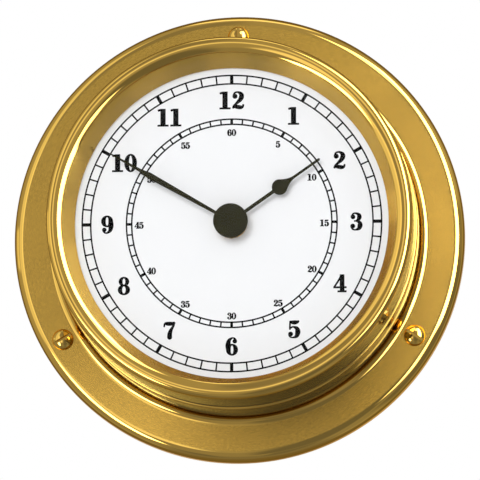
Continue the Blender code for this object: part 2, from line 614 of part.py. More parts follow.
def hour_hand_outline():
    """Thin arm, round lobe drawn out into a needle."""
    arm = HOUR_ARM_WIDTH / 2
    needle = NEEDLE_WIDTH / 2
    lobe = (0.0, LOBE_CENTRE)
    half = boss_arc(arm)
    half += arc(lobe, LOBE_RADIUS, -acos(arm / LOBE_RADIUS), LOBE_LEAVE_ANGLE, steps=LOBE_STEPS)
    start = half[-1]
    corner = (needle, start[1] + (start[0] - needle) / tan(LOBE_TAPER_SLOPE))
    half += bend(start, corner, (needle, LOBE_CENTRE + LOBE_TAPER_LENGTH), ARC_STEPS)
    half += [(needle, HOUR_HAND_LENGTH - needle), (0.0, HOUR_HAND_LENGTH)]
    return mirrored(half)


def minute_hand_outline():
    """Arm that widens to a shoulder, then a needle."""
    root = MINUTE_ARM_ROOT_WIDTH / 2
    needle = NEEDLE_WIDTH / 2
    half = boss_arc(root)
    half += [
        (MINUTE_ARM_END_WIDTH / 2, MINUTE_SHOULDER),
        (needle, MINUTE_SHOULDER + MINUTE_SHOULDER_LENGTH),
        (needle / 2, MINUTE_HAND_LENGTH - needle),
        (0.0, MINUTE_HAND_LENGTH),
    ]
    return mirrored(half)


def make_hands():
    """Hour hand, minute hand and the cap that hides their fixing."""
    hour_turn = -2 * pi * (SHOWN_HOUR + SHOWN_MINUTE / 60) / 12
    minute_turn = -2 * pi * SHOWN_MINUTE / 60
    for name, outline, turn, shaft, bottom in (
        ("hour_hand", hour_hand_outline(), hour_turn, HOUR_PIPE_RADIUS, HOUR_HAND_BOTTOM),
        ("minute_hand", minute_hand_outline(), minute_turn, MINUTE_TUBE_RADIUS, MINUTE_HAND_BOTTOM),
    ):
        top = bottom + HAND_THICKNESS
        hand = prisms(name, [(outline, bottom, top)], "hand_lacquer")
        hand.rotation_euler.z = turn
        bore(hand, shaft + HAND_PLAY, bottom - HAND_THICKNESS, top + HAND_THICKNESS)
    rim = (HUB_CAP_RADIUS - HUB_CAP_ROUND, HUB_CAP_TOP - HUB_CAP_ROUND)
    cap = [(0.0, HUB_CAP_BOTTOM), (HUB_CAP_RADIUS, HUB_CAP_BOTTOM)]
    cap += arc(rim, HUB_CAP_ROUND, 0.0, pi / 2, steps=2) + [(0.0, HUB_CAP_TOP)]
    turned("hub_cap", cap, "hand_lacquer", CAP_STEPS, closed=False)


def gear(teeth, module, phase):
    """Outline of a spur gear, a tooth on the phase angle. Straight flanks join an involute's root and tip."""
    pitch_radius = teeth * module / 2
    base_radius = pitch_radius * cos(PRESSURE_ANGLE)
    root = pitch_radius - DEDENDUM * module
    tip = pitch_radius + ADDENDUM * module
    half_tooth = pi / (2 * teeth) * (1 - TOOTH_PLAY) + tan(PRESSURE_ANGLE) - PRESSURE_ANGLE
    flank = []
    for radius in (root, tip):
        angle = acos(min(1.0, base_radius / radius))
        flank.append((radius, half_tooth - tan(angle) + angle))
    outline = []
    for i in range(teeth):
        centre = phase + 2 * pi * i / teeth
        outline += [polar(radius, centre - half) for radius, half in flank]
        outline += [polar(radius, centre + half) for radius, half in reversed(flank)]
    return outline


def in_mesh(driver_teeth, driver_phase, driver_axis, teeth, axis):
    """Phase that sets a gear's tooth space on a tooth of the gear that drives it."""
    direction = polar_angle(driver_axis, axis)
    shift = (direction - driver_phase) * driver_teeth / (2 * pi)
    return direction + pi - (0.5 - shift) * 2 * pi / teeth


def polar_angle(start, end):
    """Direction from one axis to another."""
    return atan2(end[1] - start[1], end[0] - start[0])


def wheel_level(outline, bottom):
    """One toothed level of a wheel."""
    return (outline, bottom, bottom + WHEEL_THICKNESS)


def arbored(name, wheels, back, front, material, place=SHAFT_AXIS):
    """Wheels on one arbor, moulded as one piece. Each wheel is (outline, bottom), from back to front."""
    rod = circle(ARBOR_RADIUS, ARBOR_STEPS)
    levels = []
    below = back
    for outline, bottom in wheels:
        levels += [(rod, below, bottom), wheel_level(outline, bottom)]
        below = bottom + WHEEL_THICKNESS
    levels.append((rod, below, front))
    return stacked(name, levels, material, place)


def make_motion_work():
    """Minute tube, minute wheel, hour wheel and the setting arbor with its knob."""
    cannon = gear(CANNON_TEETH, CANNON_MODULE, 0.0)
    tube = circle(MINUTE_TUBE_RADIUS, SMALL_STEPS)
    cannon_levels = [
        (tube, PLATE_PIVOT_FROM_FRONT, MINUTE_LEVEL),
        wheel_level(cannon, MINUTE_LEVEL),
        (tube, MINUTE_LEVEL + WHEEL_THICKNESS, MINUTE_HAND_TOP),
    ]
    minute_tube = stacked("minute_tube", cannon_levels, "turned_brass")
    bore(minute_tube, MINUTE_TUBE_BORE, PLATE_BOTTOM, HUB_CAP_TOP, ARBOR_STEPS)

    wheel_phase = in_mesh(CANNON_TEETH, 0.0, SHAFT_AXIS, MINUTE_WHEEL_TEETH, MINUTE_WHEEL_AXIS)
    wheels = [
        (gear(MINUTE_WHEEL_TEETH, CANNON_MODULE, wheel_phase), MINUTE_LEVEL),
        (gear(MINUTE_PINION_TEETH, HOUR_MODULE, 0.0), HOUR_LEVEL),
    ]
    arbored("minute_wheel", wheels, PLATE_PIVOT_FROM_FRONT, FRONT_PIVOT, "white_plastic", MINUTE_WHEEL_AXIS)

    hour_phase = in_mesh(MINUTE_PINION_TEETH, 0.0, MINUTE_WHEEL_AXIS, HOUR_WHEEL_TEETH, SHAFT_AXIS)
    hour_levels = [
        wheel_level(gear(HOUR_WHEEL_TEETH, HOUR_MODULE, hour_phase), HOUR_LEVEL),
        (circle(HOUR_PIPE_RADIUS, SMALL_STEPS), HOUR_LEVEL + WHEEL_THICKNESS, HOUR_HAND_TOP),
    ]
    hour_wheel = stacked("hour_wheel", hour_levels, "white_plastic")
    bore(hour_wheel, HOUR_PIPE_BORE, HOUR_LEVEL - SEAT, HOUR_HAND_TOP + SEAT)

    setting_phase = in_mesh(MINUTE_WHEEL_TEETH, wheel_phase, MINUTE_WHEEL_AXIS, SETTING_TEETH, SETTING_AXIS)
    setting_wheels = [(gear(SETTING_TEETH, CANNON_MODULE, setting_phase), MINUTE_LEVEL)]
    back = KNOB_BOTTOM + PIVOT_DEPTH
    arbored("setting_arbor", setting_wheels, back, FRONT_PIVOT, "white_plastic", SETTING_AXIS)
    flutes = [KNOB_RADIUS - KNOB_FLUTE_DEPTH * (i % 2) for i in range(2 * KNOB_FLUTES)]
    outline = [polar(radius, pi * i / KNOB_FLUTES) for i, radius in enumerate(flutes)]
    knob = prisms("setting_knob", [(outline, KNOB_BOTTOM, KNOB_TOP)], "black_plastic", SETTING_AXIS)
    bore(knob, ARBOR_RADIUS + HAND_PLAY, back - SEAT, KNOB_TOP + SEAT, ARBOR_STEPS)


def make_going_train():
    """Centre, third, fourth and fifth wheels and the rotor, each in mesh with the next."""
    leaves = TRAIN_PINION_TEETH
    fifth_phase = in_mesh(leaves, 0.0, ROTOR_AXIS, FIFTH_WHEEL_TEETH, FIFTH_AXIS)
    fourth_phase = in_mesh(leaves, 0.0, FIFTH_AXIS, FOURTH_WHEEL_TEETH, SHAFT_AXIS)
    third_phase = in_mesh(leaves, 0.0, SHAFT_AXIS, THIRD_WHEEL_TEETH, THIRD_AXIS)
    centre_phase = in_mesh(leaves, 0.0, THIRD_AXIS, CENTRE_WHEEL_TEETH, SHAFT_AXIS)

    centre = gear(CENTRE_WHEEL_TEETH, CENTRE_MODULE, centre_phase)
    centre_wheel = prisms("centre_wheel", [wheel_level(centre, CENTRE_LEVEL)], "white_plastic")
    centre_top = CENTRE_LEVEL + WHEEL_THICKNESS
    bore(centre_wheel, MINUTE_TUBE_RADIUS + RUN_FIT, CENTRE_LEVEL - SEAT, centre_top + SEAT)

    third = [
        (gear(THIRD_WHEEL_TEETH, THIRD_MODULE, third_phase), THIRD_LEVEL),
        (gear(leaves, CENTRE_MODULE, 0.0), CENTRE_LEVEL),
    ]
    arbored("third_wheel", third, BACK_PIVOT, FRONT_PIVOT, "white_plastic", THIRD_AXIS)
    fourth = [
        (gear(FOURTH_WHEEL_TEETH, TRAIN_MODULE, fourth_phase), FOURTH_LEVEL),
        (gear(leaves, THIRD_MODULE, 0.0), THIRD_LEVEL),
    ]
    arbored("fourth_wheel", fourth, BACK_PIVOT, MINUTE_HAND_TOP, "white_plastic")
    fifth = [
        (gear(FIFTH_WHEEL_TEETH, TRAIN_MODULE, fifth_phase), FIFTH_LEVEL),
        (gear(leaves, TRAIN_MODULE, 0.0), FOURTH_LEVEL),
    ]
    arbored("fifth_wheel", fifth, BACK_PIVOT, PLATE_PIVOT_FROM_BACK, "white_plastic", FIFTH_AXIS)
    rotor = [(gear(leaves, TRAIN_MODULE, 0.0), FIFTH_LEVEL)]
    arbored("rotor_pinion", rotor, BACK_PIVOT, PLATE_PIVOT_FROM_BACK, "white_plastic", ROTOR_AXIS)
    magnet = [(ARBOR_RADIUS + MAGNET_PLAY, MAGNET_BOTTOM), (MAGNET_RADIUS, MAGNET_BOTTOM)]
    magnet += [(MAGNET_RADIUS, MAGNET_TOP), (ARBOR_RADIUS + MAGNET_PLAY, MAGNET_TOP)]
    turned("rotor_magnet", magnet, "magnet", ARBOR_STEPS, ROTOR_AXIS)


def make_motor():
    """Stator round the rotor, and the coil whose core closes the stator's open side."""
    leg = STATOR_HALF_LENGTH - STATOR_LEG_WIDTH
    top = COIL_AXIS_Y + CORE_WIDTH / 2
    centre = ROTOR_AXIS[0]
    half = [(0.0, STATOR_BOTTOM_EDGE), (STATOR_HALF_LENGTH, STATOR_BOTTOM_EDGE), (STATOR_HALF_LENGTH, top)]
    half += [(leg, top), (leg, STATOR_TOP_EDGE), (0.0, STATOR_TOP_EDGE)]
    outline = [(x + centre, y) for x, y in mirrored(half)]
    stator = prisms("stator", [(outline, STATOR_BOTTOM, STATOR_TOP)], "steel")
    hole = circle(STATOR_HOLE, SMALL_STEPS, ROTOR_AXIS)
    hole_tool = prisms("stator_hole", [(hole, STATOR_BOTTOM - SEAT, STATOR_TOP + SEAT)], "steel")
    combine(stator, hole_tool, 'DIFFERENCE')

    left = centre - STATOR_HALF_LENGTH
    right = centre + STATOR_HALF_LENGTH
    core = rectangle(left, right, COIL_AXIS_Y - CORE_WIDTH / 2, top, SEAT)
    prisms("coil_core", [(core, CORE_BOTTOM, CORE_BOTTOM + CORE_THICKNESS)], "steel")
    inner = BOBBIN_HALF_LENGTH - BOBBIN_FLANGE_THICKNESS
    bobbin = [
        (BOBBIN_BORE, -BOBBIN_HALF_LENGTH),
        (BOBBIN_FLANGE_RADIUS, -BOBBIN_HALF_LENGTH),
        (BOBBIN_FLANGE_RADIUS, -inner),
        (BOBBIN_RADIUS, -inner),
        (BOBBIN_RADIUS, inner),
        (BOBBIN_FLANGE_RADIUS, inner),
        (BOBBIN_FLANGE_RADIUS, BOBBIN_HALF_LENGTH),
        (BOBBIN_BORE, BOBBIN_HALF_LENGTH),
    ]
    winding_inside = BOBBIN_RADIUS + SEAT
    winding_half = inner - SEAT
    winding = [
        (winding_inside, -winding_half),
        (winding_inside + WINDING_THICKNESS, -winding_half),
        (winding_inside + WINDING_THICKNESS, winding_half),
        (winding_inside, winding_half),
    ]
    lay_along_x(turned("coil_bobbin", bobbin, "white_plastic", SMALL_STEPS), centre, COIL_AXIS_Y, COIL_HEIGHT)
    lay_along_x(turned("coil_winding", winding, "copper", SMALL_STEPS), centre, COIL_AXIS_Y, COIL_HEIGHT)


def lay_along_x(piece, x, y, height):
    """Lay a piece that was turned about Z along X."""
    piece.rotation_euler.y = pi / 2
    piece.location = (x, y, height)


def make_bush():
    """Flanged sleeve that carries the hour pipe and clamps the housing to the dial."""
    flange = BUSH_RADIUS + BUSH_FLANGE_WIDTH
    section = [
        (BUSH_BORE, BUSH_FLANGE_BOTTOM),
        (flange, BUSH_FLANGE_BOTTOM),
        (flange, BUSH_FLANGE_TOP),
        (BUSH_RADIUS, BUSH_FLANGE_TOP),
        (BUSH_RADIUS, BUSH_TOP),
        (BUSH_BORE, BUSH_TOP),
    ]
    turned("centre_bush", section, "turned_brass", SMALL_STEPS)


def chamber_outline(growth):
    """Outline of the wheel chamber, grown all round."""
    half_width = CHAMBER_HALF_WIDTH + growth
    bottom = CHAMBER_BOTTOM - growth
    top = CHAMBER_TOP + growth
    return rectangle(-half_width, half_width, bottom, top, CHAMBER_ROUND + growth)


def make_housing():
    """Moulded tray with a wheel chamber, an open cell bay below it, and a rebate for the cover."""
    side = HOUSING_HALF_WIDTH
    outline = rectangle(-side, side, HOUSING_BOTTOM_EDGE, HOUSING_TOP_EDGE, HOUSING_ROUND)
    housing = prisms("movement_housing", [(outline, HOUSING_BACK, HOUSING_FRONT)], "black_plastic")
    bay = rectangle(-BAY_HALF_LENGTH, BAY_HALF_LENGTH, BAY_BOTTOM, BAY_TOP, SEAT)
    below = HOUSING_BACK - SEAT
    ledge = COVER_FACE + SEAT
    hollow_levels = [
        (chamber_outline(COVER_LEDGE), below, ledge),
        (chamber_outline(0.0), ledge, HOUSING_FLOOR),
    ]
    combine(housing, stacked("housing_hollow", hollow_levels, "steel"), 'DIFFERENCE')
    combine(housing, prisms("cell_bay", [(bay, below, HOUSING_FLOOR)], "steel"), 'DIFFERENCE')
    bore(housing, BUSH_HOLE, HOUSING_FLOOR - SEAT, HOUSING_FRONT + SEAT)
    pivots = [
        (circle(PIVOT_HOLE, ARBOR_STEPS, axis), HOUSING_FLOOR - SEAT, HOUSING_FLOOR + PIVOT_DEPTH)
        for axis in (MINUTE_WHEEL_AXIS, THIRD_AXIS, SETTING_AXIS)
    ]
    combine(housing, prisms("housing_pivots", pivots, "steel"), 'DIFFERENCE')

    plate = chamber_outline(COVER_LEDGE - SEAT)
    cover = prisms("movement_cover", [(plate, HOUSING_BACK, COVER_FACE)], "black_plastic")
    pivots = [
        (circle(PIVOT_HOLE, ARBOR_STEPS, axis), COVER_FACE - PIVOT_DEPTH, COVER_FACE + SEAT)
        for axis in (SHAFT_AXIS, THIRD_AXIS, FIFTH_AXIS, ROTOR_AXIS)
    ]
    pivots.append((circle(PIVOT_HOLE, ARBOR_STEPS, SETTING_AXIS), below, COVER_FACE + SEAT))
    combine(cover, prisms("cover_pivots", pivots, "steel"), 'DIFFERENCE')


def make_train_plate():
    """Plate between the motion work and the going train, on four posts."""
    left = THIRD_AXIS[0] - PLATE_MARGIN
    right = MINUTE_WHEEL_AXIS[0] + PLATE_MARGIN
    top = ROTOR_AXIS[1] + PLATE_MARGIN
    outline = rectangle(left, right, PLATE_EDGE, top, PLATE_ROUND)
    plate = prisms("train_plate", [(outline, PLATE_BOTTOM, PLATE_TOP)], "white_plastic")
    inset = POST_RADIUS + SEAT
    corners = [(x, y) for x in (left + inset, right - inset) for y in (POST_LINE, top - inset)]
    posts = [
        (circle(POST_RADIUS, ARBOR_STEPS, corner), PLATE_BOTTOM + PLATE_THICKNESS / 2, HOUSING_FLOOR - SEAT)
        for corner in corners
    ]
    combine(plate, prisms("plate_posts", posts, "steel"), 'UNION')
    holes = [(PIVOT_HOLE, axis) for axis in (MINUTE_WHEEL_AXIS, THIRD_AXIS, FIFTH_AXIS, ROTOR_AXIS)]
    holes.append((MINUTE_TUBE_RADIUS + RUN_FIT, SHAFT_AXIS))
    pivots = [
        (circle(radius, ARBOR_STEPS, axis), PLATE_BOTTOM - SEAT, PLATE_TOP + SEAT)
        for radius, axis in holes
    ]
    combine(plate, prisms("plate_pivots", pivots, "steel"), 'DIFFERENCE')


def make_cell():
    """Penlight cell in the open bay, with a flat contact at its cap and a bowed spring at its base."""
    body = CELL_HALF_LENGTH - BATTERY_CAP_LENGTH
    section = [
        (0.0, -CELL_HALF_LENGTH),
        (BATTERY_RADIUS - BATTERY_EDGE, -CELL_HALF_LENGTH),
        (BATTERY_RADIUS, -CELL_HALF_LENGTH + BATTERY_EDGE),
        (BATTERY_RADIUS, body - BATTERY_EDGE),
        (BATTERY_RADIUS - BATTERY_EDGE, body),
        (BATTERY_CAP_RADIUS, body),
        (BATTERY_CAP_RADIUS, CELL_HALF_LENGTH),
        (0.0, CELL_HALF_LENGTH),
    ]
    cell = turned("battery", section, "cell_sleeve", CAP_STEPS, closed=False)
    lay_along_x(cell, 0.0, BATTERY_AXIS_Y, BATTERY_HEIGHT)

    wall = BAY_HALF_LENGTH - SEAT
    low = BATTERY_HEIGHT - CONTACT_WIDTH / 2
    high = BATTERY_HEIGHT + CONTACT_WIDTH / 2
    flat = [(wall - CONTACT_THICKNESS, low), (wall, low), (wall, high), (wall - CONTACT_THICKNESS, high)]
    bow = arc((-wall, BATTERY_HEIGHT), CONTACT_BOW, -pi / 2, pi / 2, steps=BOW_STEPS, rise=CONTACT_WIDTH / 2)
    bow += [(x + CONTACT_THICKNESS, y) for x, y in reversed(bow)]
    for name, outline in (("contact_positive", flat), ("contact_negative", bow)):
        strip = prisms(name, [(outline, -CONTACT_WIDTH / 2, CONTACT_WIDTH / 2)], "steel")
        strip.rotation_euler.x = pi / 2
        strip.location.y = BATTERY_AXIS_Y


def make_circuit():
    """Circuit board beside the motor, with its quartz crystal and timing chip."""
    left = -CHAMBER_HALF_WIDTH + BOARD_MARGIN
    right = ROTOR_AXIS[0] - STATOR_HALF_LENGTH - BOARD_MARGIN
    top = CHAMBER_TOP - BOARD_MARGIN
    bottom = top - BOARD_HEIGHT
    back = COVER_FACE + SEAT
    front = back + BOARD_THICKNESS
    outline = rectangle(left, right, bottom, top, CHAMBER_ROUND)
    prisms("circuit_board", [(outline, back, front)], "circuit_green")
    can = disc("quartz_crystal", CRYSTAL_RADIUS, 0.0, CRYSTAL_LENGTH, "steel", ARBOR_STEPS)
    lay_along_x(can, left + CRYSTAL_INSET, bottom + CRYSTAL_LINE, front + SEAT + CRYSTAL_RADIUS)
    chip_x = (left + right) / 2
    chip_y = bottom + CHIP_LINE
    half = CHIP_SIZE / 2
    chip = rectangle(chip_x - half, chip_x + half, chip_y - half, chip_y + half, CHIP_ROUND)
    prisms("timing_chip", [(chip, front + SEAT, front + SEAT + CHIP_HEIGHT)], "black_plastic")


for old in list(bpy.data.objects):
    bpy.data.objects.remove(old, do_unlink=True)

MATERIALS = make_materials()
CLOCK = bpy.data.objects.new("clock", None)
bpy.context.scene.collection.objects.link(CLOCK)
CLOCK.rotation_euler = (pi / 2, 0.0, 0.0)

make_case()
for screw_name, screw_place, screw_slot in zip(SCREW_NAMES, screw_places(), SCREW_SLOT_ANGLES):
    make_screw(screw_name, screw_place, screw_slot)
make_bezel()
make_window()
make_dial()
make_snap_ring()
make_hands()
make_bush()
make_housing()
make_train_plate()
make_motion_work()
make_going_train()
make_motor()
make_cell()
make_circuit()
bpy.context.view_layer.update()
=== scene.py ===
"""Looks of the brass ship's clock: smooth turned brass, printed dial, lacquered hands, slotted screws, and a
plain white studio.

Pieces are drawn as in the CAD source, with X to the right, Y towards twelve o'clock and Z out of the dial.
world() stands them up. Lengths are in metres.
"""

from math import acos, asin, cos, pi, radians, sin, tan

import bmesh
import bpy
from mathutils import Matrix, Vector

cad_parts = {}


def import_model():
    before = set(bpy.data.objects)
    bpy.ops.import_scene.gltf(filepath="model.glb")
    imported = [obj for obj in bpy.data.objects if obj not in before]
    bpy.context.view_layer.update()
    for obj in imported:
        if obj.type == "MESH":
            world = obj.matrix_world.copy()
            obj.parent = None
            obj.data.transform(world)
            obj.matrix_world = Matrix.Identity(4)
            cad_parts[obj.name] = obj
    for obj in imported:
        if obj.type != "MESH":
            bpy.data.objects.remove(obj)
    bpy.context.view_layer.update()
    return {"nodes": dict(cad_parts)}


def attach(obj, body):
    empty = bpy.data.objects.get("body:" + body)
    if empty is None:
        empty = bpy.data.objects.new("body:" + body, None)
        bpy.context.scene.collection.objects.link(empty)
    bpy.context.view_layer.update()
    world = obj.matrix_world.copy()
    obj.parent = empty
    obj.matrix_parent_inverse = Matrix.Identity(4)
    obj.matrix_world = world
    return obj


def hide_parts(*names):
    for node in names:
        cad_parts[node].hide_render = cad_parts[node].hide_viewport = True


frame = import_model()

# Facets
ROUND_STEPS = 192
SMALL_STEPS = 64
ARC_STEPS = 10
WIRE_STEPS = 16
HOLE_STEPS = 24
BOSS_STEPS = 24
LOBE_STEPS = 20
HAND_HOLE_STEPS = 32
BOWL_STEPS = 48
BALL_STEPS = 24
BEVEL_STEPS = 2
BEVEL_ANGLE = radians(40)
SHARP_EDGE = radians(30)
AXIS_TOUCH = 0.000001
WELD_DISTANCE = 0.000001

# Case and flange
FLANGE_RADIUS = 0.0625
FLANGE_HEIGHT = 0.0055
FLANGE_ROUND = 0.0030
SHEET = 0.0012
WALL_RADIUS = 0.0505
FOOT_FILLET = 0.0024
CASE_HEIGHT = 0.0225
CASE_LIP_ROUND = 0.0005

# Screws: node, angle on the flange and angle of the slot
SCREWS = (
    ("screw_top", radians(90), radians(88)),
    ("screw_lower_left", radians(210), radians(30)),
    ("screw_lower_right", radians(330), radians(-33)),
)
SCREW_CIRCLE_RADIUS = 0.0562
SCREW_HOLE_RADIUS = 0.0018
SCREW_SEAT = 0.0058
SCREW_HEAD_RADIUS = 0.0029
SCREW_HEAD_HEIGHT = 0.0019
SCREW_SLOT_WIDTH = 0.0008
SCREW_SLOT_DEPTH = 0.0011
SCREW_SHANK_RADIUS = 0.0015
SCREW_SHANK_LENGTH = 0.0130
SCREW_TIP = SCREW_SEAT - SCREW_SHANK_LENGTH
SCREW_POINT_LENGTH = 0.0040
SCREW_NECK = 0.0030
THREAD_PITCH = 0.0012
THREAD_DEPTH = 0.0004
THREAD_SLOPE = 4.0   # of a ridge's sides, in ridge heights per pitch
THREAD_RINGS = 110
POINT_SHARE = 0.08   # of the radius, left at the tip

# Bezel
SPIGOT_RADIUS = 0.0490
SPIGOT_END = 0.0160
BEZEL_RADIUS = 0.0500
BEZEL_FOOT = 0.0228
BEZEL_BORE = 0.0478
CREST = 0.0400
CREST_ROUND = 0.0016
LIP_RADIUS = 0.0457
LIP_SLOPE = radians(40)
LIP_EDGE = 0.0006
LIP_UNDERSIDE = 0.0370
SEAL_LEDGE = 0.0013
GROOVE_RADIUS = 0.0484
GROOVE_HEIGHT = 0.0269
GROOVE_HALF = 0.00075
SNAP_WIRE_RADIUS = 0.0006
SNAP_RING_RADIUS = 0.04765
SNAP_RING_OPENING = radians(24)

# Seal, glass, reflecting ring and dial
INSERT_RADIUS = 0.0475
SEAL_BORE = 0.0468
SEAL_BOTTOM = 0.0362
SEAL_TOP = 0.0367
GLASS_BOTTOM = 0.0344
GLASS_TOP = 0.0359
GLASS_EDGE = 0.0002
WINDOW_RADIUS = 0.0430
REHAUT_BOTTOM = 0.0291
REHAUT_EDGE = 0.0003
REHAUT_TOP = 0.0341
REHAUT_TOP_RADIUS = 0.0468
REHAUT_SLOPE = radians(40)
DIAL_BACK = 0.0278
DIAL_FACE = 0.0288
DIAL_HOLE = 0.00325

# Dial print
PRINT_SINK = 0.00001
PRINT_HEIGHT = 0.00003
PRINT_BOTTOM = DIAL_FACE - PRINT_SINK
PRINT_TOP = DIAL_FACE + PRINT_HEIGHT
LINE_WIDTH = 0.00042
MINUTE_TRACK = (0.03870, 0.04105)
INNER_TRACK = (0.02743, 0.02887)
HOURS = 12
MARKS = 60
MARKS_PER_HOUR = 5
MINUTE_BAR_WIDTH = 0.00092
INNER_BAR_WIDTH = 0.00074
HOUR_NUMBER_RADIUS = 0.0341
HOUR_NUMBER_HEIGHT = 0.00476
SMALL_NUMBER_RADIUS = 0.0254
SMALL_NUMBER_DROP = 0.0003
SMALL_NUMBER_HEIGHT = 0.00175
HOUR_INK_SPREAD = 0.020   # of a digit's height, like the next three
SMALL_INK_SPREAD = 0.032
HOUR_DIGIT_STEP = 0.74
SMALL_DIGIT_STEP = 0.69
STROKE_STEPS = 7

# Hands
HOUR_TURN = radians(-55)
MINUTE_TURN = radians(-300)
HAND_BOSS_RADIUS = 0.0040
HAND_THICKNESS = 0.0004
HAND_EDGE = 0.00008
NEEDLE_WIDTH = 0.0007
NEEDLE_ROOT_WIDTH = 0.0009
HOUR_HAND_BOTTOM = 0.0313
HOUR_HAND_LENGTH = 0.0298
HOUR_ARM_WIDTH = 0.00095
HOUR_HAND_HOLE = 0.0021
LOBE_CENTRE = 0.0163
LOBE_RADIUS = 0.00215
LOBE_LEAVE_ANGLE = radians(25)
LOBE_TAPER_SLOPE = radians(37)
LOBE_TAPER_LENGTH = 0.0050
MINUTE_HAND_BOTTOM = 0.0321
MINUTE_HAND_LENGTH = 0.0385
MINUTE_ARM_ROOT_WIDTH = 0.0008
MINUTE_ARM_END_WIDTH = 0.0017
MINUTE_SHOULDER = 0.0258
MINUTE_SHOULDER_LENGTH = 0.0025
MINUTE_HAND_HOLE = 0.00125
HUB_CAP_RADIUS = 0.00475
HUB_CAP_BOTTOM = 0.0328
HUB_CAP_TOP = 0.0336
HUB_CAP_ROUND = 0.0003

# Cell
CELL_HALF_LENGTH = 0.0252
CELL_CAP_LENGTH = 0.0014
CELL_CAP_RADIUS = 0.00275
CELL_RADIUS = 0.00715
CELL_EDGE = 0.0005
CELL_RIM = 0.0012
CELL_AXIS_Y = -0.02205
CELL_HEIGHT = 0.01755

# Soft edges on the mouldings
MOULD_EDGE = 0.0003

# Brass. The flat of the flange is rubbed, and its fillet and shoulder are polished.
BRIGHT_BRASS = (0.80, 0.50, 0.105)
SATIN_BRASS = (0.78, 0.48, 0.092)
SPUN_BRASS = (0.70, 0.45, 0.12)
TURNED_BRASS = (0.74, 0.48, 0.13)
SIDE_BRASS = (0.72, 0.50, 0.16)
POLISH = 0.05
EDGE_TINT = (0.75, 0.55, 0.30)   # of brass seen at a low angle
SIDE_EDGE_TINT = (0.45, 0.56, 0.85)   # a coat of lacquer on the side greys it
FLAT_INNER_RADIUS = 0.0526
FLAT_OUTER_RADIUS = 0.0598
FLAT_BLEND = 0.0003
# Painted shade: a dark brown line painted into the brass colour in the corner where the flange meets the wall
CORNER_SHADE = (0.20, 0.14, 0.045)
CORNER_SHADE_WIDTH = 0.0008   # of the painted shade, a dark line in the corner between flange and wall
RUB_ACROSS = 3500.0   # changes in a metre across the rings
RUB_ALONG = 70.0      # changes in a radian along them
RUB_DEPTH = 0.000002
RUB_DIRECTION = 0.25  # of a turn
PATCH_SCALE = 60.0
PATCH_SWING = 0.04
SMUDGE_SCALE = 90.0
SMUDGE_DARK = 0.94
SMUDGE_LIGHT = 1.05
SMUDGE_SWING = 0.03

# Window, copper wire and grain
WINDOW_IOR = 1.17   # low, for a window whose reflection hardly shows
WINDOW_ROUGHNESS = 0.02
SMEAR_SCALE = 45.0
SMEAR_ROUGHNESS = 0.03
COPPER = (0.60, 0.22, 0.09)
COPPER_ROUGHNESS = 0.35
COPPER_DARK = 0.6
COPPER_LIGHT = 1.1
WINDING_SCALE = 1500.0
WINDING_WANDER = 0.4
WINDING_DEPTH = 0.00003
SLOW_GRAIN = 15   # size of slow patches, in fine grains

# Camera and studio
AIM = (0.0, 0.0, 0.0001)
CAMERA_AZIMUTH = radians(4.5)
CAMERA_ELEVATION = radians(-9.4)
CAMERA_DISTANCE = 2.0
CAMERA_LENS = 541.0
CAMERA_REACH = 20.0
SENSOR_WIDTH = 36.0
LAMP_DISTANCE = 1.6
LAMP_SIZE = 0.7
AMBIENT = 0.42
STUDIO_RADIUS = 0.5
STUDIO_SEGMENTS = 48
STUDIO_RINGS = 24
STUDIO_GREY = (0.45, 0.45, 0.45)
WHITE = (1.0, 1.0, 1.0)
BOUNCE_TINT = (0.42, 0.63, 2.0)
FLOOR_HEIGHT = -0.6
FLOOR_SIZE = 6.0
FLOOR_COLOUR = (0.88, 0.88, 0.88)
FLOOR_ROUGHNESS = 0.8


def world(x, y, z):
    """Place in the world of a point drawn on the clock lying on its back."""
    return (x, -z, y)


def arc(centre, radius, start, end, steps=ARC_STEPS, rise=None):
    """Points along a round or, with a rise, an elliptical arc."""
    rise = radius if rise is None else rise
    turns = [start + (end - start) * i / steps for i in range(steps + 1)]
    return [(centre[0] + radius * cos(turn), centre[1] + rise * sin(turn)) for turn in turns]


def circle(centre, radius, steps):
    """Points round a circle."""
    return arc(centre, radius, 0.0, 2 * pi, steps)[:-1]


def turned_about(points, turn):
    """Points turned about the clock's axis."""
    return [(x * cos(turn) - y * sin(turn), x * sin(turn) + y * cos(turn)) for x, y in points]


# Materials


def make_node(tree, kind, inputs=None, **fields):
    """Add a node, set its fields, and set or link its inputs."""
    made = tree.nodes.new(kind)
    for field, value in fields.items():
        setattr(made, field, value)
    for socket, value in (inputs or {}).items():
        if isinstance(value, bpy.types.NodeSocket):
            tree.links.new(value, made.inputs[socket])
        else:
            made.inputs[socket].default_value = value
    return made


def math(tree, operation, first, second=0.0):
    """Output of a Math node."""
    return make_node(tree, "ShaderNodeMath", {0: first, 1: second}, operation=operation).outputs[0]


def remap(tree, value, low, high):
    """A value from 0 to 1 brought into another range."""
    inputs = {"Value": value, "To Min": low, "To Max": high}
    return make_node(tree, "ShaderNodeMapRange", inputs).outputs["Result"]


def blend_colours(tree, factor, first, second):
    """Output of a colour Mix node."""
    mixer = make_node(tree, "ShaderNodeMix", {0: factor}, data_type='RGBA')
    for socket, colour in ((6, first), (7, second)):
        if isinstance(colour, bpy.types.NodeSocket):
            tree.links.new(colour, mixer.inputs[socket])
        else:
            mixer.inputs[socket].default_value = (*colour, 1.0)
    return mixer.outputs[2]


def scaled(colour, factor):
    """A lighter or darker colour."""
    return tuple(channel * factor for channel in colour)


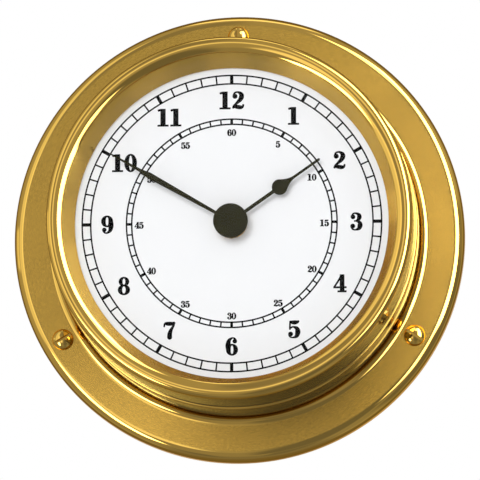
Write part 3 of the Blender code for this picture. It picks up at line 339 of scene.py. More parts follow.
def principled(name, colour, roughness, metallic=0.0):
    """Principled material and its shader node."""
    material = bpy.data.materials.new(name)
    material.use_nodes = True
    shader = material.node_tree.nodes["Principled BSDF"]
    shader.inputs["Base Color"].default_value = (*colour, 1.0)
    shader.inputs["Roughness"].default_value = roughness
    shader.inputs["Metallic"].default_value = metallic
    material.diffuse_color = (*colour, 1.0)
    return material, shader


def object_place(tree):
    """Position on the piece, in metres."""
    return make_node(tree, "ShaderNodeTexCoord").outputs["Object"]


def noise(tree, place, scale, detail=3.0):
    """Noise from 0 to 1."""
    inputs = {"Vector": place, "Scale": scale, "Detail": detail}
    return make_node(tree, "ShaderNodeTexNoise", inputs).outputs["Fac"]


def add_bump(tree, shader, height, distance, strength=1.0):
    """Raise a surface by a height from 0 to 1."""
    bump = make_node(tree, "ShaderNodeBump", {"Height": height, "Distance": distance, "Strength": strength})
    tree.links.new(bump.outputs["Normal"], shader.inputs["Normal"])


def grained(name, colour, roughness, metallic=0.0, scale=900.0, swing=0.12, spread=0.08, bump=0.00001,
            specular=0.5):
    """Material with a fine grain in its colour, gloss and surface, and slow patches over it."""
    material, shader = principled(name, colour, roughness, metallic)
    shader.inputs["Specular IOR Level"].default_value = specular
    tree = material.node_tree
    place = object_place(tree)
    fine = noise(tree, place, scale)
    slow = noise(tree, place, scale / SLOW_GRAIN, detail=2.0)
    both = math(tree, 'MULTIPLY', math(tree, 'ADD', fine, slow), 0.5)
    tint = blend_colours(tree, both, scaled(colour, 1 - swing), scaled(colour, 1 + swing))
    tree.links.new(tint, shader.inputs["Base Color"])
    tree.links.new(remap(tree, both, roughness - spread, roughness + spread), shader.inputs["Roughness"])
    add_bump(tree, shader, fine, bump)
    return material


def ramp(tree, value, start, end):
    """Smooth ramp from nothing at the start to one at the end."""
    inputs = {"Value": value, "From Min": start, "From Max": end}
    return make_node(tree, "ShaderNodeMapRange", inputs, interpolation_type='SMOOTHSTEP').outputs[0]


def off_axis(tree):
    """Object place with its part along the clock's axis taken out."""
    split = make_node(tree, "ShaderNodeSeparateXYZ", {0: object_place(tree)})
    return make_node(tree, "ShaderNodeCombineXYZ", {0: split.outputs[0], 2: split.outputs[2]}).outputs[0]


def axis_distance(tree):
    """Distance from the clock's axis."""
    return make_node(tree, "ShaderNodeVectorMath", {0: off_axis(tree)}, operation='LENGTH').outputs["Value"]


def ring_place(tree, across, along):
    """Place for marks that run round the clock's axis: fine steps across them and slow change along them."""
    split = make_node(tree, "ShaderNodeSeparateXYZ", {0: object_place(tree)})
    flat = off_axis(tree)
    radius = axis_distance(tree)
    heading = make_node(tree, "ShaderNodeVectorMath", {0: flat}, operation='NORMALIZE').outputs[0]
    parts = make_node(tree, "ShaderNodeSeparateXYZ", {0: heading})
    step = math(tree, 'MULTIPLY', math(tree, 'SUBTRACT', radius, split.outputs[1]), across)
    easting = math(tree, 'MULTIPLY', parts.outputs[0], along)
    northing = math(tree, 'MULTIPLY', parts.outputs[2], along)
    return make_node(tree, "ShaderNodeCombineXYZ", {0: step, 1: easting, 2: northing}).outputs[0]


def flange_flat(tree):
    """One on the flange's flat and nothing on its fillet and its shoulder."""
    radius = axis_distance(tree)
    inner = ramp(tree, radius, FLAT_INNER_RADIUS - FLAT_BLEND, FLAT_INNER_RADIUS + FLAT_BLEND)
    outer = ramp(tree, radius, FLAT_OUTER_RADIUS + FLAT_BLEND, FLAT_OUTER_RADIUS - FLAT_BLEND)
    return math(tree, 'MULTIPLY', inner, outer)


def satin_brass(name, colour, roughness, streak, anisotropy, rubbed=None):
    """Brass rubbed in fine circles about the clock's axis. A rubbed share leaves the rest polished, with a
    line of painted shade in the corner at the wall."""
    material, shader = principled(name, colour, roughness, metallic=1.0)
    shader.inputs["Specular Tint"].default_value = (*EDGE_TINT, 1.0)
    tree = material.node_tree
    rings = noise(tree, ring_place(tree, RUB_ACROSS, RUB_ALONG), 1.0)
    patches = noise(tree, object_place(tree), PATCH_SCALE)
    tint = blend_colours(tree, rings, scaled(colour, 1 - streak), scaled(colour, 1 + streak))
    gloss = remap(tree, patches, roughness - PATCH_SWING, roughness + PATCH_SWING)
    if rubbed:
        share = rubbed(tree)
        tint = blend_colours(tree, share, BRIGHT_BRASS, tint)
        # Painted shade: the colour darkens to a dark line in the corner next to the wall
        corner = ramp(tree, axis_distance(tree), WALL_RADIUS + CORNER_SHADE_WIDTH, WALL_RADIUS)
        tint = blend_colours(tree, corner, tint, CORNER_SHADE)
        gloss = math(tree, 'MAXIMUM', math(tree, 'MULTIPLY', gloss, share), POLISH)
        rings = math(tree, 'MULTIPLY', rings, share)
    tree.links.new(tint, shader.inputs["Base Color"])
    tree.links.new(gloss, shader.inputs["Roughness"])
    shader.inputs["Anisotropic"].default_value = anisotropy
    shader.inputs["Anisotropic Rotation"].default_value = RUB_DIRECTION
    tangent = make_node(tree, "ShaderNodeTangent", direction_type='RADIAL', axis='Y')
    tree.links.new(tangent.outputs[0], shader.inputs["Tangent"])
    add_bump(tree, shader, rings, RUB_DEPTH)
    return material


def polished_brass(name, colour, roughness, across, along, height, edge):
    """Bright lacquered brass with smudges and faint marks, of a given height, that run round the clock."""
    material, shader = principled(name, colour, roughness, metallic=1.0)
    shader.inputs["Specular Tint"].default_value = (*edge, 1.0)
    tree = material.node_tree
    wipes = noise(tree, ring_place(tree, across, along), 1.0)
    smudges = noise(tree, object_place(tree), SMUDGE_SCALE)
    tint = blend_colours(tree, smudges, scaled(colour, SMUDGE_DARK), scaled(colour, SMUDGE_LIGHT))
    tree.links.new(tint, shader.inputs["Base Color"])
    gloss = math(tree, 'MULTIPLY', math(tree, 'ADD', wipes, smudges), 0.5)
    gloss = remap(tree, gloss, roughness - SMUDGE_SWING, roughness + SMUDGE_SWING)
    tree.links.new(gloss, shader.inputs["Roughness"])
    add_bump(tree, shader, wipes, height)
    return material


def window_glass():
    """Clear glass that lets the lamps' light through to the dial."""
    material, shader = principled("window_glass", WHITE, WINDOW_ROUGHNESS)
    tree = material.node_tree
    shader.inputs["Transmission Weight"].default_value = 1.0
    shader.inputs["IOR"].default_value = WINDOW_IOR
    smears = noise(tree, object_place(tree), SMEAR_SCALE)
    tree.links.new(remap(tree, smears, 0.0, SMEAR_ROUGHNESS), shader.inputs["Roughness"])
    clear = make_node(tree, "ShaderNodeBsdfTransparent")
    path = make_node(tree, "ShaderNodeLightPath")
    passing = math(tree, 'MAXIMUM', path.outputs["Is Shadow Ray"], path.outputs["Is Diffuse Ray"])
    inputs = {0: passing, 1: shader.outputs[0], 2: clear.outputs[0]}
    mixed = make_node(tree, "ShaderNodeMixShader", inputs)
    tree.links.new(mixed.outputs[0], tree.nodes["Material Output"].inputs["Surface"])
    return material


def wound_copper():
    """Lacquered wire wound side by side along X."""
    material, shader = principled("wound_copper", COPPER, COPPER_ROUGHNESS, metallic=1.0)
    tree = material.node_tree
    inputs = {"Vector": object_place(tree), "Scale": WINDING_SCALE, "Distortion": WINDING_WANDER}
    turns = make_node(tree, "ShaderNodeTexWave", inputs, bands_direction='X').outputs["Fac"]
    tint = blend_colours(tree, turns, scaled(COPPER, COPPER_DARK), scaled(COPPER, COPPER_LIGHT))
    tree.links.new(tint, shader.inputs["Base Color"])
    add_bump(tree, shader, turns, WINDING_DEPTH)
    return material


MATERIALS = {
    "polished_brass": polished_brass("polished_brass", BRIGHT_BRASS, POLISH, across=1500.0, along=20.0,
                                     height=0.000001, edge=EDGE_TINT),
    "satin_brass": satin_brass("satin_brass", SATIN_BRASS, 0.23, streak=0.30, anisotropy=0.65,
                               rubbed=flange_flat),
    "spun_brass": satin_brass("spun_brass", SPUN_BRASS, 0.34, streak=0.14, anisotropy=0.4),
    "turned_brass": satin_brass("turned_brass", TURNED_BRASS, 0.28, streak=0.08, anisotropy=0.3),
    "side_brass": polished_brass("side_brass", SIDE_BRASS, 0.09, across=350.0, along=4.0,
                                 height=0.00005, edge=SIDE_EDGE_TINT),
    "rehaut_brass": satin_brass("rehaut_brass", BRIGHT_BRASS, 0.14, streak=0.05, anisotropy=0.3),
    "dial_white": grained("dial_white", (0.92, 0.93, 0.945), 0.42, scale=1500.0, swing=0.012, spread=0.05,
                          bump=0.000004),
    "dial_ink": grained("dial_ink", (0.003, 0.003, 0.003), 0.9, scale=2500.0, swing=0.3, bump=0.000002,
                        specular=0.0),
    "dial_metal": grained("dial_metal", (0.62, 0.61, 0.58), 0.38, metallic=1.0, scale=1200.0, swing=0.08),
    "hand_lacquer": grained("hand_lacquer", (0.0115, 0.0105, 0.0006), 0.5, scale=2500.0, swing=0.25,
                            bump=0.000004, specular=0.08),
    "glass": window_glass(),
    "rubber": grained("rubber", (0.020, 0.020, 0.020), 0.70, scale=2500.0, swing=0.25),
    "steel": grained("steel", (0.56, 0.56, 0.55), 0.28, metallic=1.0, scale=1200.0, swing=0.06),
    "black_plastic": grained("black_plastic", (0.025, 0.025, 0.027), 0.48, scale=1800.0, swing=0.15,
                             bump=0.00002),
    "white_plastic": grained("white_plastic", (0.78, 0.77, 0.72), 0.42, scale=900.0, swing=0.03),
    "magnet": grained("magnet", (0.16, 0.16, 0.17), 0.40, metallic=1.0, scale=2500.0, swing=0.15),
    "copper": wound_copper(),
    "circuit_green": grained("circuit_green", (0.03, 0.16, 0.07), 0.42, scale=700.0, swing=0.2),
    "cell_sleeve": grained("cell_sleeve", (0.10, 0.10, 0.11), 0.32, scale=500.0, swing=0.08, bump=0.000004),
}


# Building and dressing pieces


def as_mesh(name, bm):
    """Mesh made of a bmesh, which is used up."""
    mesh = bpy.data.meshes.new(name)
    bm.to_mesh(mesh)
    bm.free()
    return mesh


def add_object(name, data):
    """New object in the scene."""
    made = bpy.data.objects.new(name, data)
    bpy.context.scene.collection.objects.link(made)
    return made


def finish(name, bm, materials):
    """Turn a bmesh into a smooth object with sharp corners."""
    bmesh.ops.recalc_face_normals(bm, faces=bm.faces)
    mesh = as_mesh(name, bm)
    mesh.shade_smooth()
    mesh.set_sharp_from_angle(angle=SHARP_EDGE)
    for material in materials:
        mesh.materials.append(MATERIALS[material])
    return add_object(name, mesh)


def dress(piece, body, slot, *nodes):
    """Let a piece ride on a body, in place of the CAD nodes that it stands for, which are hidden. The slot is
    not used.
    """
    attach(piece, body)
    if nodes:
        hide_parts(*nodes)


def add_lathe(bm, section, steps, skins=None, stand=world, closed=True):
    """Turn a (radius, height) section about its axis. An open section starts and ends on the axis."""
    turns = [2 * pi * i / steps for i in range(steps)]
    rings = []
    for radius, height in section:
        if radius < AXIS_TOUCH:
            rings.append([bm.verts.new(stand(0.0, 0.0, height))])
        else:
            rings.append([bm.verts.new(stand(radius * cos(t), radius * sin(t), height)) for t in turns])
    nexts = rings[1:] + rings[:1] if closed else rings[1:]
    for band, (first, second) in enumerate(zip(rings, nexts)):
        for i in range(steps):
            j = (i + 1) % steps
            corners = [first[i % len(first)], first[j % len(first)]]
            corners += [second[j % len(second)], second[i % len(second)]]
            face = bm.faces.new(list(dict.fromkeys(corners)))
            face.material_index = skins[band] if skins else 0


def lathe(name, section, material, steps=ROUND_STEPS, closed=True):
    """Turned piece of one material."""
    bm = bmesh.new()
    add_lathe(bm, section, steps, closed=closed)
    return finish(name, bm, [material])


def lathe_skins(name, runs, materials, steps=ROUND_STEPS, stand=world, closed=True):
    """Turned piece of several materials. A run is (points, material), for faces that start at its points."""
    section = [point for points, material in runs for point in points]
    skins = [materials.index(material) for points, material in runs for point in points]
    bm = bmesh.new()
    add_lathe(bm, section, steps, skins, stand, closed)
    return finish(name, bm, materials)


def add_prism(bm, outline, bottom, top):
    """Straight-sided solid between two heights."""
    foot = [bm.verts.new(world(x, y, bottom)) for x, y in outline]
    head = [bm.verts.new(world(x, y, top)) for x, y in outline]
    for i in range(len(outline)):
        bm.faces.new((foot[i - 1], foot[i], head[i], head[i - 1]))
    bm.faces.new(foot)
    bm.faces.new(head)


def add_ribbon(bm, left, right, bottom, top, closed):
    """Solid between two lines of as many points each, as a loop or with two ends."""
    corners = []
    for a, b in zip(left, right):
        square = ((a, bottom), (a, top), (b, top), (b, bottom))
        corners.append([bm.verts.new(world(x, y, height)) for (x, y), height in square])
    pairs = list(zip(corners, corners[1:] + corners[:1] if closed else corners[1:]))
    for first, second in pairs:
        for i in range(4):
            bm.faces.new((first[i - 1], first[i], second[i], second[i - 1]))
    if not closed:
        bm.faces.new(corners[0])
        bm.faces.new(corners[-1])


def cut(piece, tool):
    """Cut a tool out of a piece for good and take the tool away."""
    boolean = piece.modifiers.new("cut", 'BOOLEAN')
    boolean.object = tool
    bpy.context.view_layer.update()
    shape = piece.evaluated_get(bpy.context.evaluated_depsgraph_get())
    mesh = bpy.data.meshes.new_from_object(shape)
    piece.modifiers.clear()
    piece.data = mesh
    bpy.data.objects.remove(tool, do_unlink=True)
    mesh.shade_smooth()
    mesh.set_sharp_from_angle(angle=SHARP_EDGE)


def soften(piece, width):
    """Ease the sharp edges of a piece."""
    weld = piece.modifiers.new("weld", 'WELD')
    weld.merge_threshold = WELD_DISTANCE
    bevel = piece.modifiers.new("bevel", 'BEVEL')
    bevel.width = width
    bevel.segments = BEVEL_STEPS
    bevel.limit_method = 'ANGLE'
    bevel.angle_limit = BEVEL_ANGLE
    bevel.use_clamp_overlap = True


# The clock's turned brass


def screw_place(angle):
    """Centre of a screw on the flange."""
    return (SCREW_CIRCLE_RADIUS * cos(angle), SCREW_CIRCLE_RADIUS * sin(angle))


def make_case():
    """Spun case: polished shoulder, satin flange, polished fillet and wall, plain inside."""
    edge = (FLANGE_RADIUS - FLANGE_ROUND, FLANGE_HEIGHT - FLANGE_ROUND)
    foot = (WALL_RADIUS + FOOT_FILLET, FLANGE_HEIGHT + FOOT_FILLET)
    lip = (WALL_RADIUS - CASE_LIP_ROUND, CASE_HEIGHT - CASE_LIP_ROUND)
    shoulder = arc(edge, FLANGE_ROUND, 0.0, pi / 2)
    inside = [(WALL_RADIUS - SHEET, CASE_HEIGHT)]
    inside += arc(foot, FOOT_FILLET + SHEET, pi, 3 * pi / 2)
    inside += arc(edge, FLANGE_ROUND - SHEET, pi / 2, 0.0)
    inside += [(FLANGE_RADIUS - SHEET, 0.0)]
    front = [(FLANGE_RADIUS, 0.0)] + shoulder + arc(foot, FOOT_FILLET, 3 * pi / 2, pi)[:-1]
    runs = [
        (front, "satin_brass"),
        ([(WALL_RADIUS, FLANGE_HEIGHT + FOOT_FILLET)], "side_brass"),
        (arc(lip, CASE_LIP_ROUND, 0.0, pi / 2), "polished_brass"),
        (inside, "spun_brass"),
    ]
    case = lathe_skins("case_spun", runs, ["satin_brass", "polished_brass", "side_brass", "spun_brass"])
    bm = bmesh.new()
    for _, angle, _ in SCREWS:
        hole = circle(screw_place(angle), SCREW_HOLE_RADIUS, HOLE_STEPS)
        add_prism(bm, hole, FLANGE_HEIGHT - 2 * SHEET, FLANGE_HEIGHT + SHEET)
    cut(case, finish("case_holes", bm, ["satin_brass"]))
    dress(case, "clock", "satin_brass", "flange_case")


def thread_radius(height, turn):
    """Radius of the screw's threaded part, which runs out to a point."""
    phase = (height / THREAD_PITCH - turn / (2 * pi)) % 1.0
    ridge = max(0.0, 1.0 - abs(phase - 0.5) * THREAD_SLOPE)
    taper = min(1.0, POINT_SHARE + (height - SCREW_TIP) / SCREW_POINT_LENGTH)
    return taper * (SCREW_SHANK_RADIUS - THREAD_DEPTH * (1.0 - ridge))


def make_screw(node, angle, slot_angle):
    """Slotted round-headed wood screw with its thread."""
    centre = screw_place(angle)
    neck = SCREW_SEAT - SCREW_NECK
    bm = bmesh.new()
    turns = [2 * pi * i / SMALL_STEPS for i in range(SMALL_STEPS)]
    rings = []
    for k in range(THREAD_RINGS + 1):
        height = SCREW_TIP + (neck - SCREW_TIP) * k / THREAD_RINGS
        radii = [thread_radius(height, turn) for turn in turns]
        rings.append((radii, height))
    rings.append(([SCREW_SHANK_RADIUS] * SMALL_STEPS, neck))
    dome = arc((0.0, SCREW_SEAT), SCREW_HEAD_RADIUS, 0.0, pi / 2, rise=SCREW_HEAD_HEIGHT)
    for radius, height in [(SCREW_SHANK_RADIUS, SCREW_SEAT)] + dome[:-1]:
        rings.append(([radius] * SMALL_STEPS, height))
    loops = [
        [
            bm.verts.new(world(centre[0] + radius * cos(turn), centre[1] + radius * sin(turn), height))
            for radius, turn in zip(radii, turns)
        ]
        for radii, height in rings
    ]
    for first, second in zip(loops, loops[1:]):
        for i in range(SMALL_STEPS):
            bm.faces.new((first[i - 1], first[i], second[i], second[i - 1]))
    bm.faces.new(loops[0])
    bm.faces.new(loops[-1])
    screw = finish(node + "_slotted", bm, ["polished_brass"])
    reach = 2 * SCREW_HEAD_RADIUS
    half = SCREW_SLOT_WIDTH / 2
    outline = turned_about([(-reach, -half), (reach, -half), (reach, half), (-reach, half)], slot_angle)
    outline = [(x + centre[0], y + centre[1]) for x, y in outline]
    top = SCREW_SEAT + SCREW_HEAD_HEIGHT
    bm = bmesh.new()
    add_prism(bm, outline, top - SCREW_SLOT_DEPTH, top + SCREW_HEAD_HEIGHT)
    cut(screw, finish(node + "_slot", bm, ["polished_brass"]))
    dress(screw, "clock", "polished_brass", node)


def make_bezel():
    """Turned bezel with its crest, curved lip and ring groove."""
    crest = (BEZEL_RADIUS - CREST_ROUND, CREST - CREST_ROUND)
    sweep = (crest[0] - LIP_RADIUS) / sin(LIP_SLOPE)
    lip = arc((crest[0], CREST - sweep), sweep, pi / 2, pi / 2 + LIP_SLOPE)
    inside = [(LIP_RADIUS, lip[-1][1] - LIP_EDGE), (BEZEL_BORE - SEAL_LEDGE, LIP_UNDERSIDE)]
    inside += [(BEZEL_BORE, LIP_UNDERSIDE)]
    inside += [(BEZEL_BORE, GROOVE_HEIGHT + GROOVE_HALF), (GROOVE_RADIUS, GROOVE_HEIGHT + GROOVE_HALF)]
    inside += [(GROOVE_RADIUS, GROOVE_HEIGHT - GROOVE_HALF), (BEZEL_BORE, GROOVE_HEIGHT - GROOVE_HALF)]
    inside += [(BEZEL_BORE, SPIGOT_END)]
    runs = [
        ([(SPIGOT_RADIUS, SPIGOT_END), (SPIGOT_RADIUS, BEZEL_FOOT)], "turned_brass"),
        ([(BEZEL_RADIUS, BEZEL_FOOT)], "side_brass"),
        (arc(crest, CREST_ROUND, 0.0, pi / 2) + lip[1:], "polished_brass"),
        (inside, "turned_brass"),
    ]
    bezel = lathe_skins("bezel_turned", runs, ["polished_brass", "side_brass", "turned_brass"])
    dress(bezel, "clock", "polished_brass", "bezel")


def make_snap_ring():
    """Smooth round wire bent to a ring, open at the bottom, that sits in the bezel's groove."""
    bm = bmesh.new()
    rings = []
    wire = circle((SNAP_RING_RADIUS, GROOVE_HEIGHT), SNAP_WIRE_RADIUS, WIRE_STEPS)
    for i in range(ROUND_STEPS + 1):
        turn = (SNAP_RING_OPENING - pi) / 2 + (2 * pi - SNAP_RING_OPENING) * i / ROUND_STEPS
        points = [world(radius * cos(turn), radius * sin(turn), height) for radius, height in wire]
        rings.append([bm.verts.new(point) for point in points])
    for first, second in zip(rings, rings[1:]):
        for i in range(WIRE_STEPS):
            j = (i + 1) % WIRE_STEPS
            bm.faces.new([first[i], first[j], second[j], second[i]])
    bm.faces.new(rings[0])
    bm.faces.new(rings[-1])
    dress(finish("snap_wire", bm, ["steel"]), "clock", "steel", "dial_snap_ring")


def make_window():
    """Seal, glass with eased edges, and the conical reflecting ring."""
    seal = [(SEAL_BORE, SEAL_BOTTOM), (INSERT_RADIUS, SEAL_BOTTOM)]
    seal += [(INSERT_RADIUS, SEAL_TOP), (SEAL_BORE, SEAL_TOP)]
    dress(lathe("glass_gasket", seal, "rubber"), "clock", "rubber", "glass_seal")
    glass = [
        (0.0, GLASS_BOTTOM),
        (INSERT_RADIUS - GLASS_EDGE, GLASS_BOTTOM),
        (INSERT_RADIUS, GLASS_BOTTOM + GLASS_EDGE),
        (INSERT_RADIUS, GLASS_TOP - GLASS_EDGE),
        (INSERT_RADIUS - GLASS_EDGE, GLASS_TOP),
        (0.0, GLASS_TOP),
    ]
    dress(lathe("glass_pane", glass, "glass", closed=False), "clock", "glass", "glass")
    cone_foot = REHAUT_BOTTOM + REHAUT_EDGE
    cone_rise = (REHAUT_TOP_RADIUS - WINDOW_RADIUS) * tan(REHAUT_SLOPE)
    rehaut = [
        (WINDOW_RADIUS, REHAUT_BOTTOM),
        (INSERT_RADIUS, REHAUT_BOTTOM),
        (INSERT_RADIUS, REHAUT_TOP),
        (REHAUT_TOP_RADIUS, REHAUT_TOP),
        (REHAUT_TOP_RADIUS, cone_foot + cone_rise),
        (WINDOW_RADIUS, cone_foot),
    ]
    dress(lathe("rehaut_turned", rehaut, "rehaut_brass"), "clock", "polished_brass", "rehaut_ring")


# Dial and its print


def make_dial():
    """Plate painted white in front and bare behind."""
    runs = [
        ([(DIAL_HOLE, DIAL_BACK)], "dial_metal"),
        ([(INSERT_RADIUS, DIAL_BACK), (INSERT_RADIUS, DIAL_FACE), (DIAL_HOLE, DIAL_FACE)], "dial_white"),
    ]
    dress(lathe_skins("dial_plate", runs, ["dial_white", "dial_metal"]), "clock", "dial_white", "dial")


# Digits in units of their height. A bowl is (centre, outer radii, inner radii), a stroke is a line of
# (x, y, width), a ball is (centre, radius) and a bar is (left, bottom, right, top).
DIGITS = {
    "0": [("bowl", (0.345, 0.5), (0.345, 0.515), (0.115, 0.455))],
    "1": [
        ("bar", 0.20, 0.0, 0.46, 1.0),
        ("bar", 0.03, 0.0, 0.63, 0.07),
        ("stroke", [(0.03, 0.90, 0.07), (0.12, 0.935, 0.09), (0.28, 0.955, 0.09)]),
    ],
    "2": [
        ("ball", (0.165, 0.735), 0.125),
        ("stroke", [(0.07, 0.76, 0.06), (0.15, 0.93, 0.07), (0.34, 0.975, 0.08), (0.515, 0.86, 0.20),
                    (0.54, 0.70, 0.25), (0.45, 0.52, 0.20), (0.27, 0.34, 0.12), (0.10, 0.17, 0.08),
                    (0.05, 0.02, 0.06)]),
        ("stroke", [(0.04, 0.09, 0.10), (0.16, 0.14, 0.17), (0.32, 0.11, 0.20), (0.50, 0.09, 0.19),
                    (0.61, 0.14, 0.11), (0.655, 0.27, 0.05)]),
    ],
    "3": [
        ("ball", (0.16, 0.765), 0.115),
        ("stroke", [(0.08, 0.80, 0.07), (0.18, 0.95, 0.06), (0.33, 0.975, 0.07), (0.49, 0.89, 0.17),
                    (0.525, 0.755, 0.23), (0.46, 0.61, 0.15), (0.33, 0.535, 0.06), (0.22, 0.53, 0.06)]),
        ("stroke", [(0.22, 0.53, 0.06), (0.36, 0.525, 0.06), (0.53, 0.44, 0.17), (0.565, 0.275, 0.25),
                    (0.50, 0.10, 0.18), (0.33, 0.02, 0.06), (0.15, 0.05, 0.06), (0.055, 0.20, 0.07)]),
        ("ball", (0.145, 0.235), 0.12),
    ],
    "4": [
        ("bar", 0.37, 0.0, 0.60, 1.0),
        ("bar", 0.24, 0.0, 0.72, 0.07),
        ("bar", 0.0, 0.235, 0.72, 0.305),
        ("stroke", [(0.025, 0.27, 0.06), (0.25, 0.62, 0.07), (0.46, 0.97, 0.08)]),
    ],
    "5": [
        ("stroke", [(0.105, 0.47, 0.06), (0.11, 0.72, 0.06), (0.125, 0.98, 0.06)]),
        ("stroke", [(0.11, 0.95, 0.07), (0.24, 0.90, 0.17), (0.42, 0.89, 0.20), (0.56, 0.93, 0.12),
                    (0.62, 1.0, 0.04)]),
        ("stroke", [(0.09, 0.50, 0.05), (0.19, 0.60, 0.06), (0.32, 0.63, 0.07), (0.51, 0.53, 0.20),
                    (0.56, 0.33, 0.26), (0.49, 0.11, 0.19), (0.31, 0.02, 0.06), (0.14, 0.05, 0.06),
                    (0.055, 0.18, 0.07)]),
        ("ball", (0.145, 0.22), 0.12),
    ],
    "6": [
        ("bowl", (0.365, 0.31), (0.325, 0.325), (0.10, 0.265)),
        ("stroke", [(0.60, 0.84, 0.06), (0.51, 0.96, 0.06), (0.37, 0.985, 0.06), (0.20, 0.85, 0.17),
                    (0.14, 0.60, 0.25), (0.155, 0.36, 0.24), (0.20, 0.20, 0.16)]),
        ("ball", (0.525, 0.80), 0.11),
    ],
    "7": [
        ("stroke", [(0.05, 0.70, 0.05), (0.065, 0.84, 0.07), (0.14, 0.90, 0.15), (0.34, 0.895, 0.20),
                    (0.53, 0.91, 0.16), (0.66, 0.985, 0.05)]),
        ("stroke", [(0.655, 0.98, 0.05), (0.58, 0.78, 0.09), (0.45, 0.55, 0.15), (0.375, 0.34, 0.22),
                    (0.36, 0.12, 0.25)]),
        ("ball", (0.36, 0.12), 0.125),
    ],
    "8": [
        ("bowl", (0.345, 0.755), (0.285, 0.26), (0.10, 0.20)),
        ("bowl", (0.345, 0.275), (0.335, 0.29), (0.12, 0.225)),
    ],
}
DIGITS["9"] = [("turned", part) for part in DIGITS["6"]]
DIGIT_WIDTH = 0.69


def ellipse(centre, radii):
    """Points round an ellipse."""
    return arc(centre, radii[0], 0.0, 2 * pi, BOWL_STEPS, rise=radii[1])[:-1]


def spline(keys):
    """Smooth run of (x, y, width) through the keys."""
    padded = [keys[0]] + list(keys) + [keys[-1]]
    points = []
    for a, b, c, d in zip(padded, padded[1:], padded[2:], padded[3:]):
        for i in range(STROKE_STEPS):
            t = i / STROKE_STEPS
            point = []
            for p, q, r, s in zip(a, b, c, d):
                curve = (2 * p - 5 * q + 4 * r - s) * t * t + (3 * q - p - 3 * r + s) * t * t * t
                point.append(q + 0.5 * ((r - p) * t + curve))
            points.append(tuple(point))
    return points + [keys[-1]]


def stroke_sides(keys, spread):
    """Left and right edge of a pen stroke."""
    points = spline(keys)
    left = []
    right = []
    for i, (x, y, width) in enumerate(points):
        before = points[max(i - 1, 0)]
        after = points[min(i + 1, len(points) - 1)]
        run = Vector((after[0] - before[0], after[1] - before[1])).normalized()
        half = width / 2 + spread
        left.append((x - run.y * half, y + run.x * half))
        right.append((x + run.y * half, y - run.x * half))
    return left, right


def print_part(bm, part, place, spread):
    """Print one part of a digit, with some spread of the ink. Place brings digit units onto the dial."""
    kind = part[0]
    if kind == "turned":
        print_part(bm, part[1], lambda x, y: place(DIGIT_WIDTH - x, 1.0 - y), spread)
    elif kind == "ball":
        radius = part[2] + spread
        ring = circle(part[1], radius, BALL_STEPS)
        add_prism(bm, [place(x, y) for x, y in ring], PRINT_BOTTOM, PRINT_TOP)
    elif kind == "bar":
        left, low, right, high = (edge + spread * side for edge, side in zip(part[1:], (-1, -1, 1, 1)))
        corners = ((left, low), (right, low), (right, high), (left, high))
        add_prism(bm, [place(x, y) for x, y in corners], PRINT_BOTTOM, PRINT_TOP)
    else:
        closed = kind == "bowl"
        if closed:
            sides = [
                ellipse(part[1], [radius + growth for radius in radii])
                for radii, growth in ((part[2], spread), (part[3], -spread))
            ]
        else:
            sides = stroke_sides(part[1], spread)
        left, right = ([place(x, y) for x, y in side] for side in sides)
        add_ribbon(bm, left, right, PRINT_BOTTOM, PRINT_TOP, closed)


def print_number(bm, number, centre, height, spread, step):
    """Print a number upright, centred on a point of the dial, with a step from digit to digit."""
    digits = str(number)
    start = -((len(digits) - 1) * step + DIGIT_WIDTH) / 2
    for i, digit in enumerate(digits):
        corner = start + i * step

        def place(x, y):
            return (centre[0] + (corner + x) * height, centre[1] + (y - 0.5) * height)

        for part in DIGITS[digit]:
            print_part(bm, part, place, spread)


def print_track(bm, track, bar_width):
    """Two circles with sixty marks between them, thick at the hours."""
    for edge in track:
        inner = circle((0.0, 0.0), edge - LINE_WIDTH / 2, ROUND_STEPS)
        outer = circle((0.0, 0.0), edge + LINE_WIDTH / 2, ROUND_STEPS)
        add_ribbon(bm, inner, outer, PRINT_BOTTOM, PRINT_TOP, closed=True)
    for mark in range(MARKS):
        half = (LINE_WIDTH if mark % MARKS_PER_HOUR else bar_width) / 2
        bar = [(-half, track[0]), (half, track[0]), (half, track[1]), (-half, track[1])]
        add_prism(bm, turned_about(bar, -2 * pi * mark / MARKS), PRINT_BOTTOM, PRINT_TOP)


def make_print():
    """Minute track, inner track, hour numbers and minute numbers."""
    bm = bmesh.new()
    print_track(bm, MINUTE_TRACK, MINUTE_BAR_WIDTH)
    print_track(bm, INNER_TRACK, INNER_BAR_WIDTH)
    for hour in range(1, HOURS + 1):
        turn = pi / 2 - 2 * pi * hour / HOURS
        spot = (HOUR_NUMBER_RADIUS * cos(turn), HOUR_NUMBER_RADIUS * sin(turn))
        print_number(bm, hour, spot, HOUR_NUMBER_HEIGHT, HOUR_INK_SPREAD, HOUR_DIGIT_STEP)
        spot = (SMALL_NUMBER_RADIUS * cos(turn), SMALL_NUMBER_RADIUS * sin(turn) - SMALL_NUMBER_DROP)
        minutes = hour * MARKS_PER_HOUR
        print_number(bm, minutes, spot, SMALL_NUMBER_HEIGHT, SMALL_INK_SPREAD, SMALL_DIGIT_STEP)
    dress(finish("dial_print", bm, ["dial_ink"]), "clock", "dial_white")


# Hands


def mirrored(half):
    """Close an outline whose right half runs from the bottom to the top of the Y axis."""
    return half + [(-x, y) for x, y in reversed(half[1:-1])]


def boss_arc(arm_half_width):
    """Right half of a hand's boss, from its bottom to where the arm leaves it."""
    leave = pi / 2 - asin(arm_half_width / HAND_BOSS_RADIUS)
    return arc((0.0, 0.0), HAND_BOSS_RADIUS, -pi / 2, leave, BOSS_STEPS)


def bend(start, corner, end, steps=ARC_STEPS):
    """Points of a curve that leaves its start and reaches its end along lines through the corner."""
    points = []
    for i in range(1, steps + 1):
        t = i / steps
        weights = ((1 - t) ** 2, 2 * t * (1 - t), t ** 2)
        x = sum(weight * point[0] for weight, point in zip(weights, (start, corner, end)))
        y = sum(weight * point[1] for weight, point in zip(weights, (start, corner, end)))
        points.append((x, y))
    return points


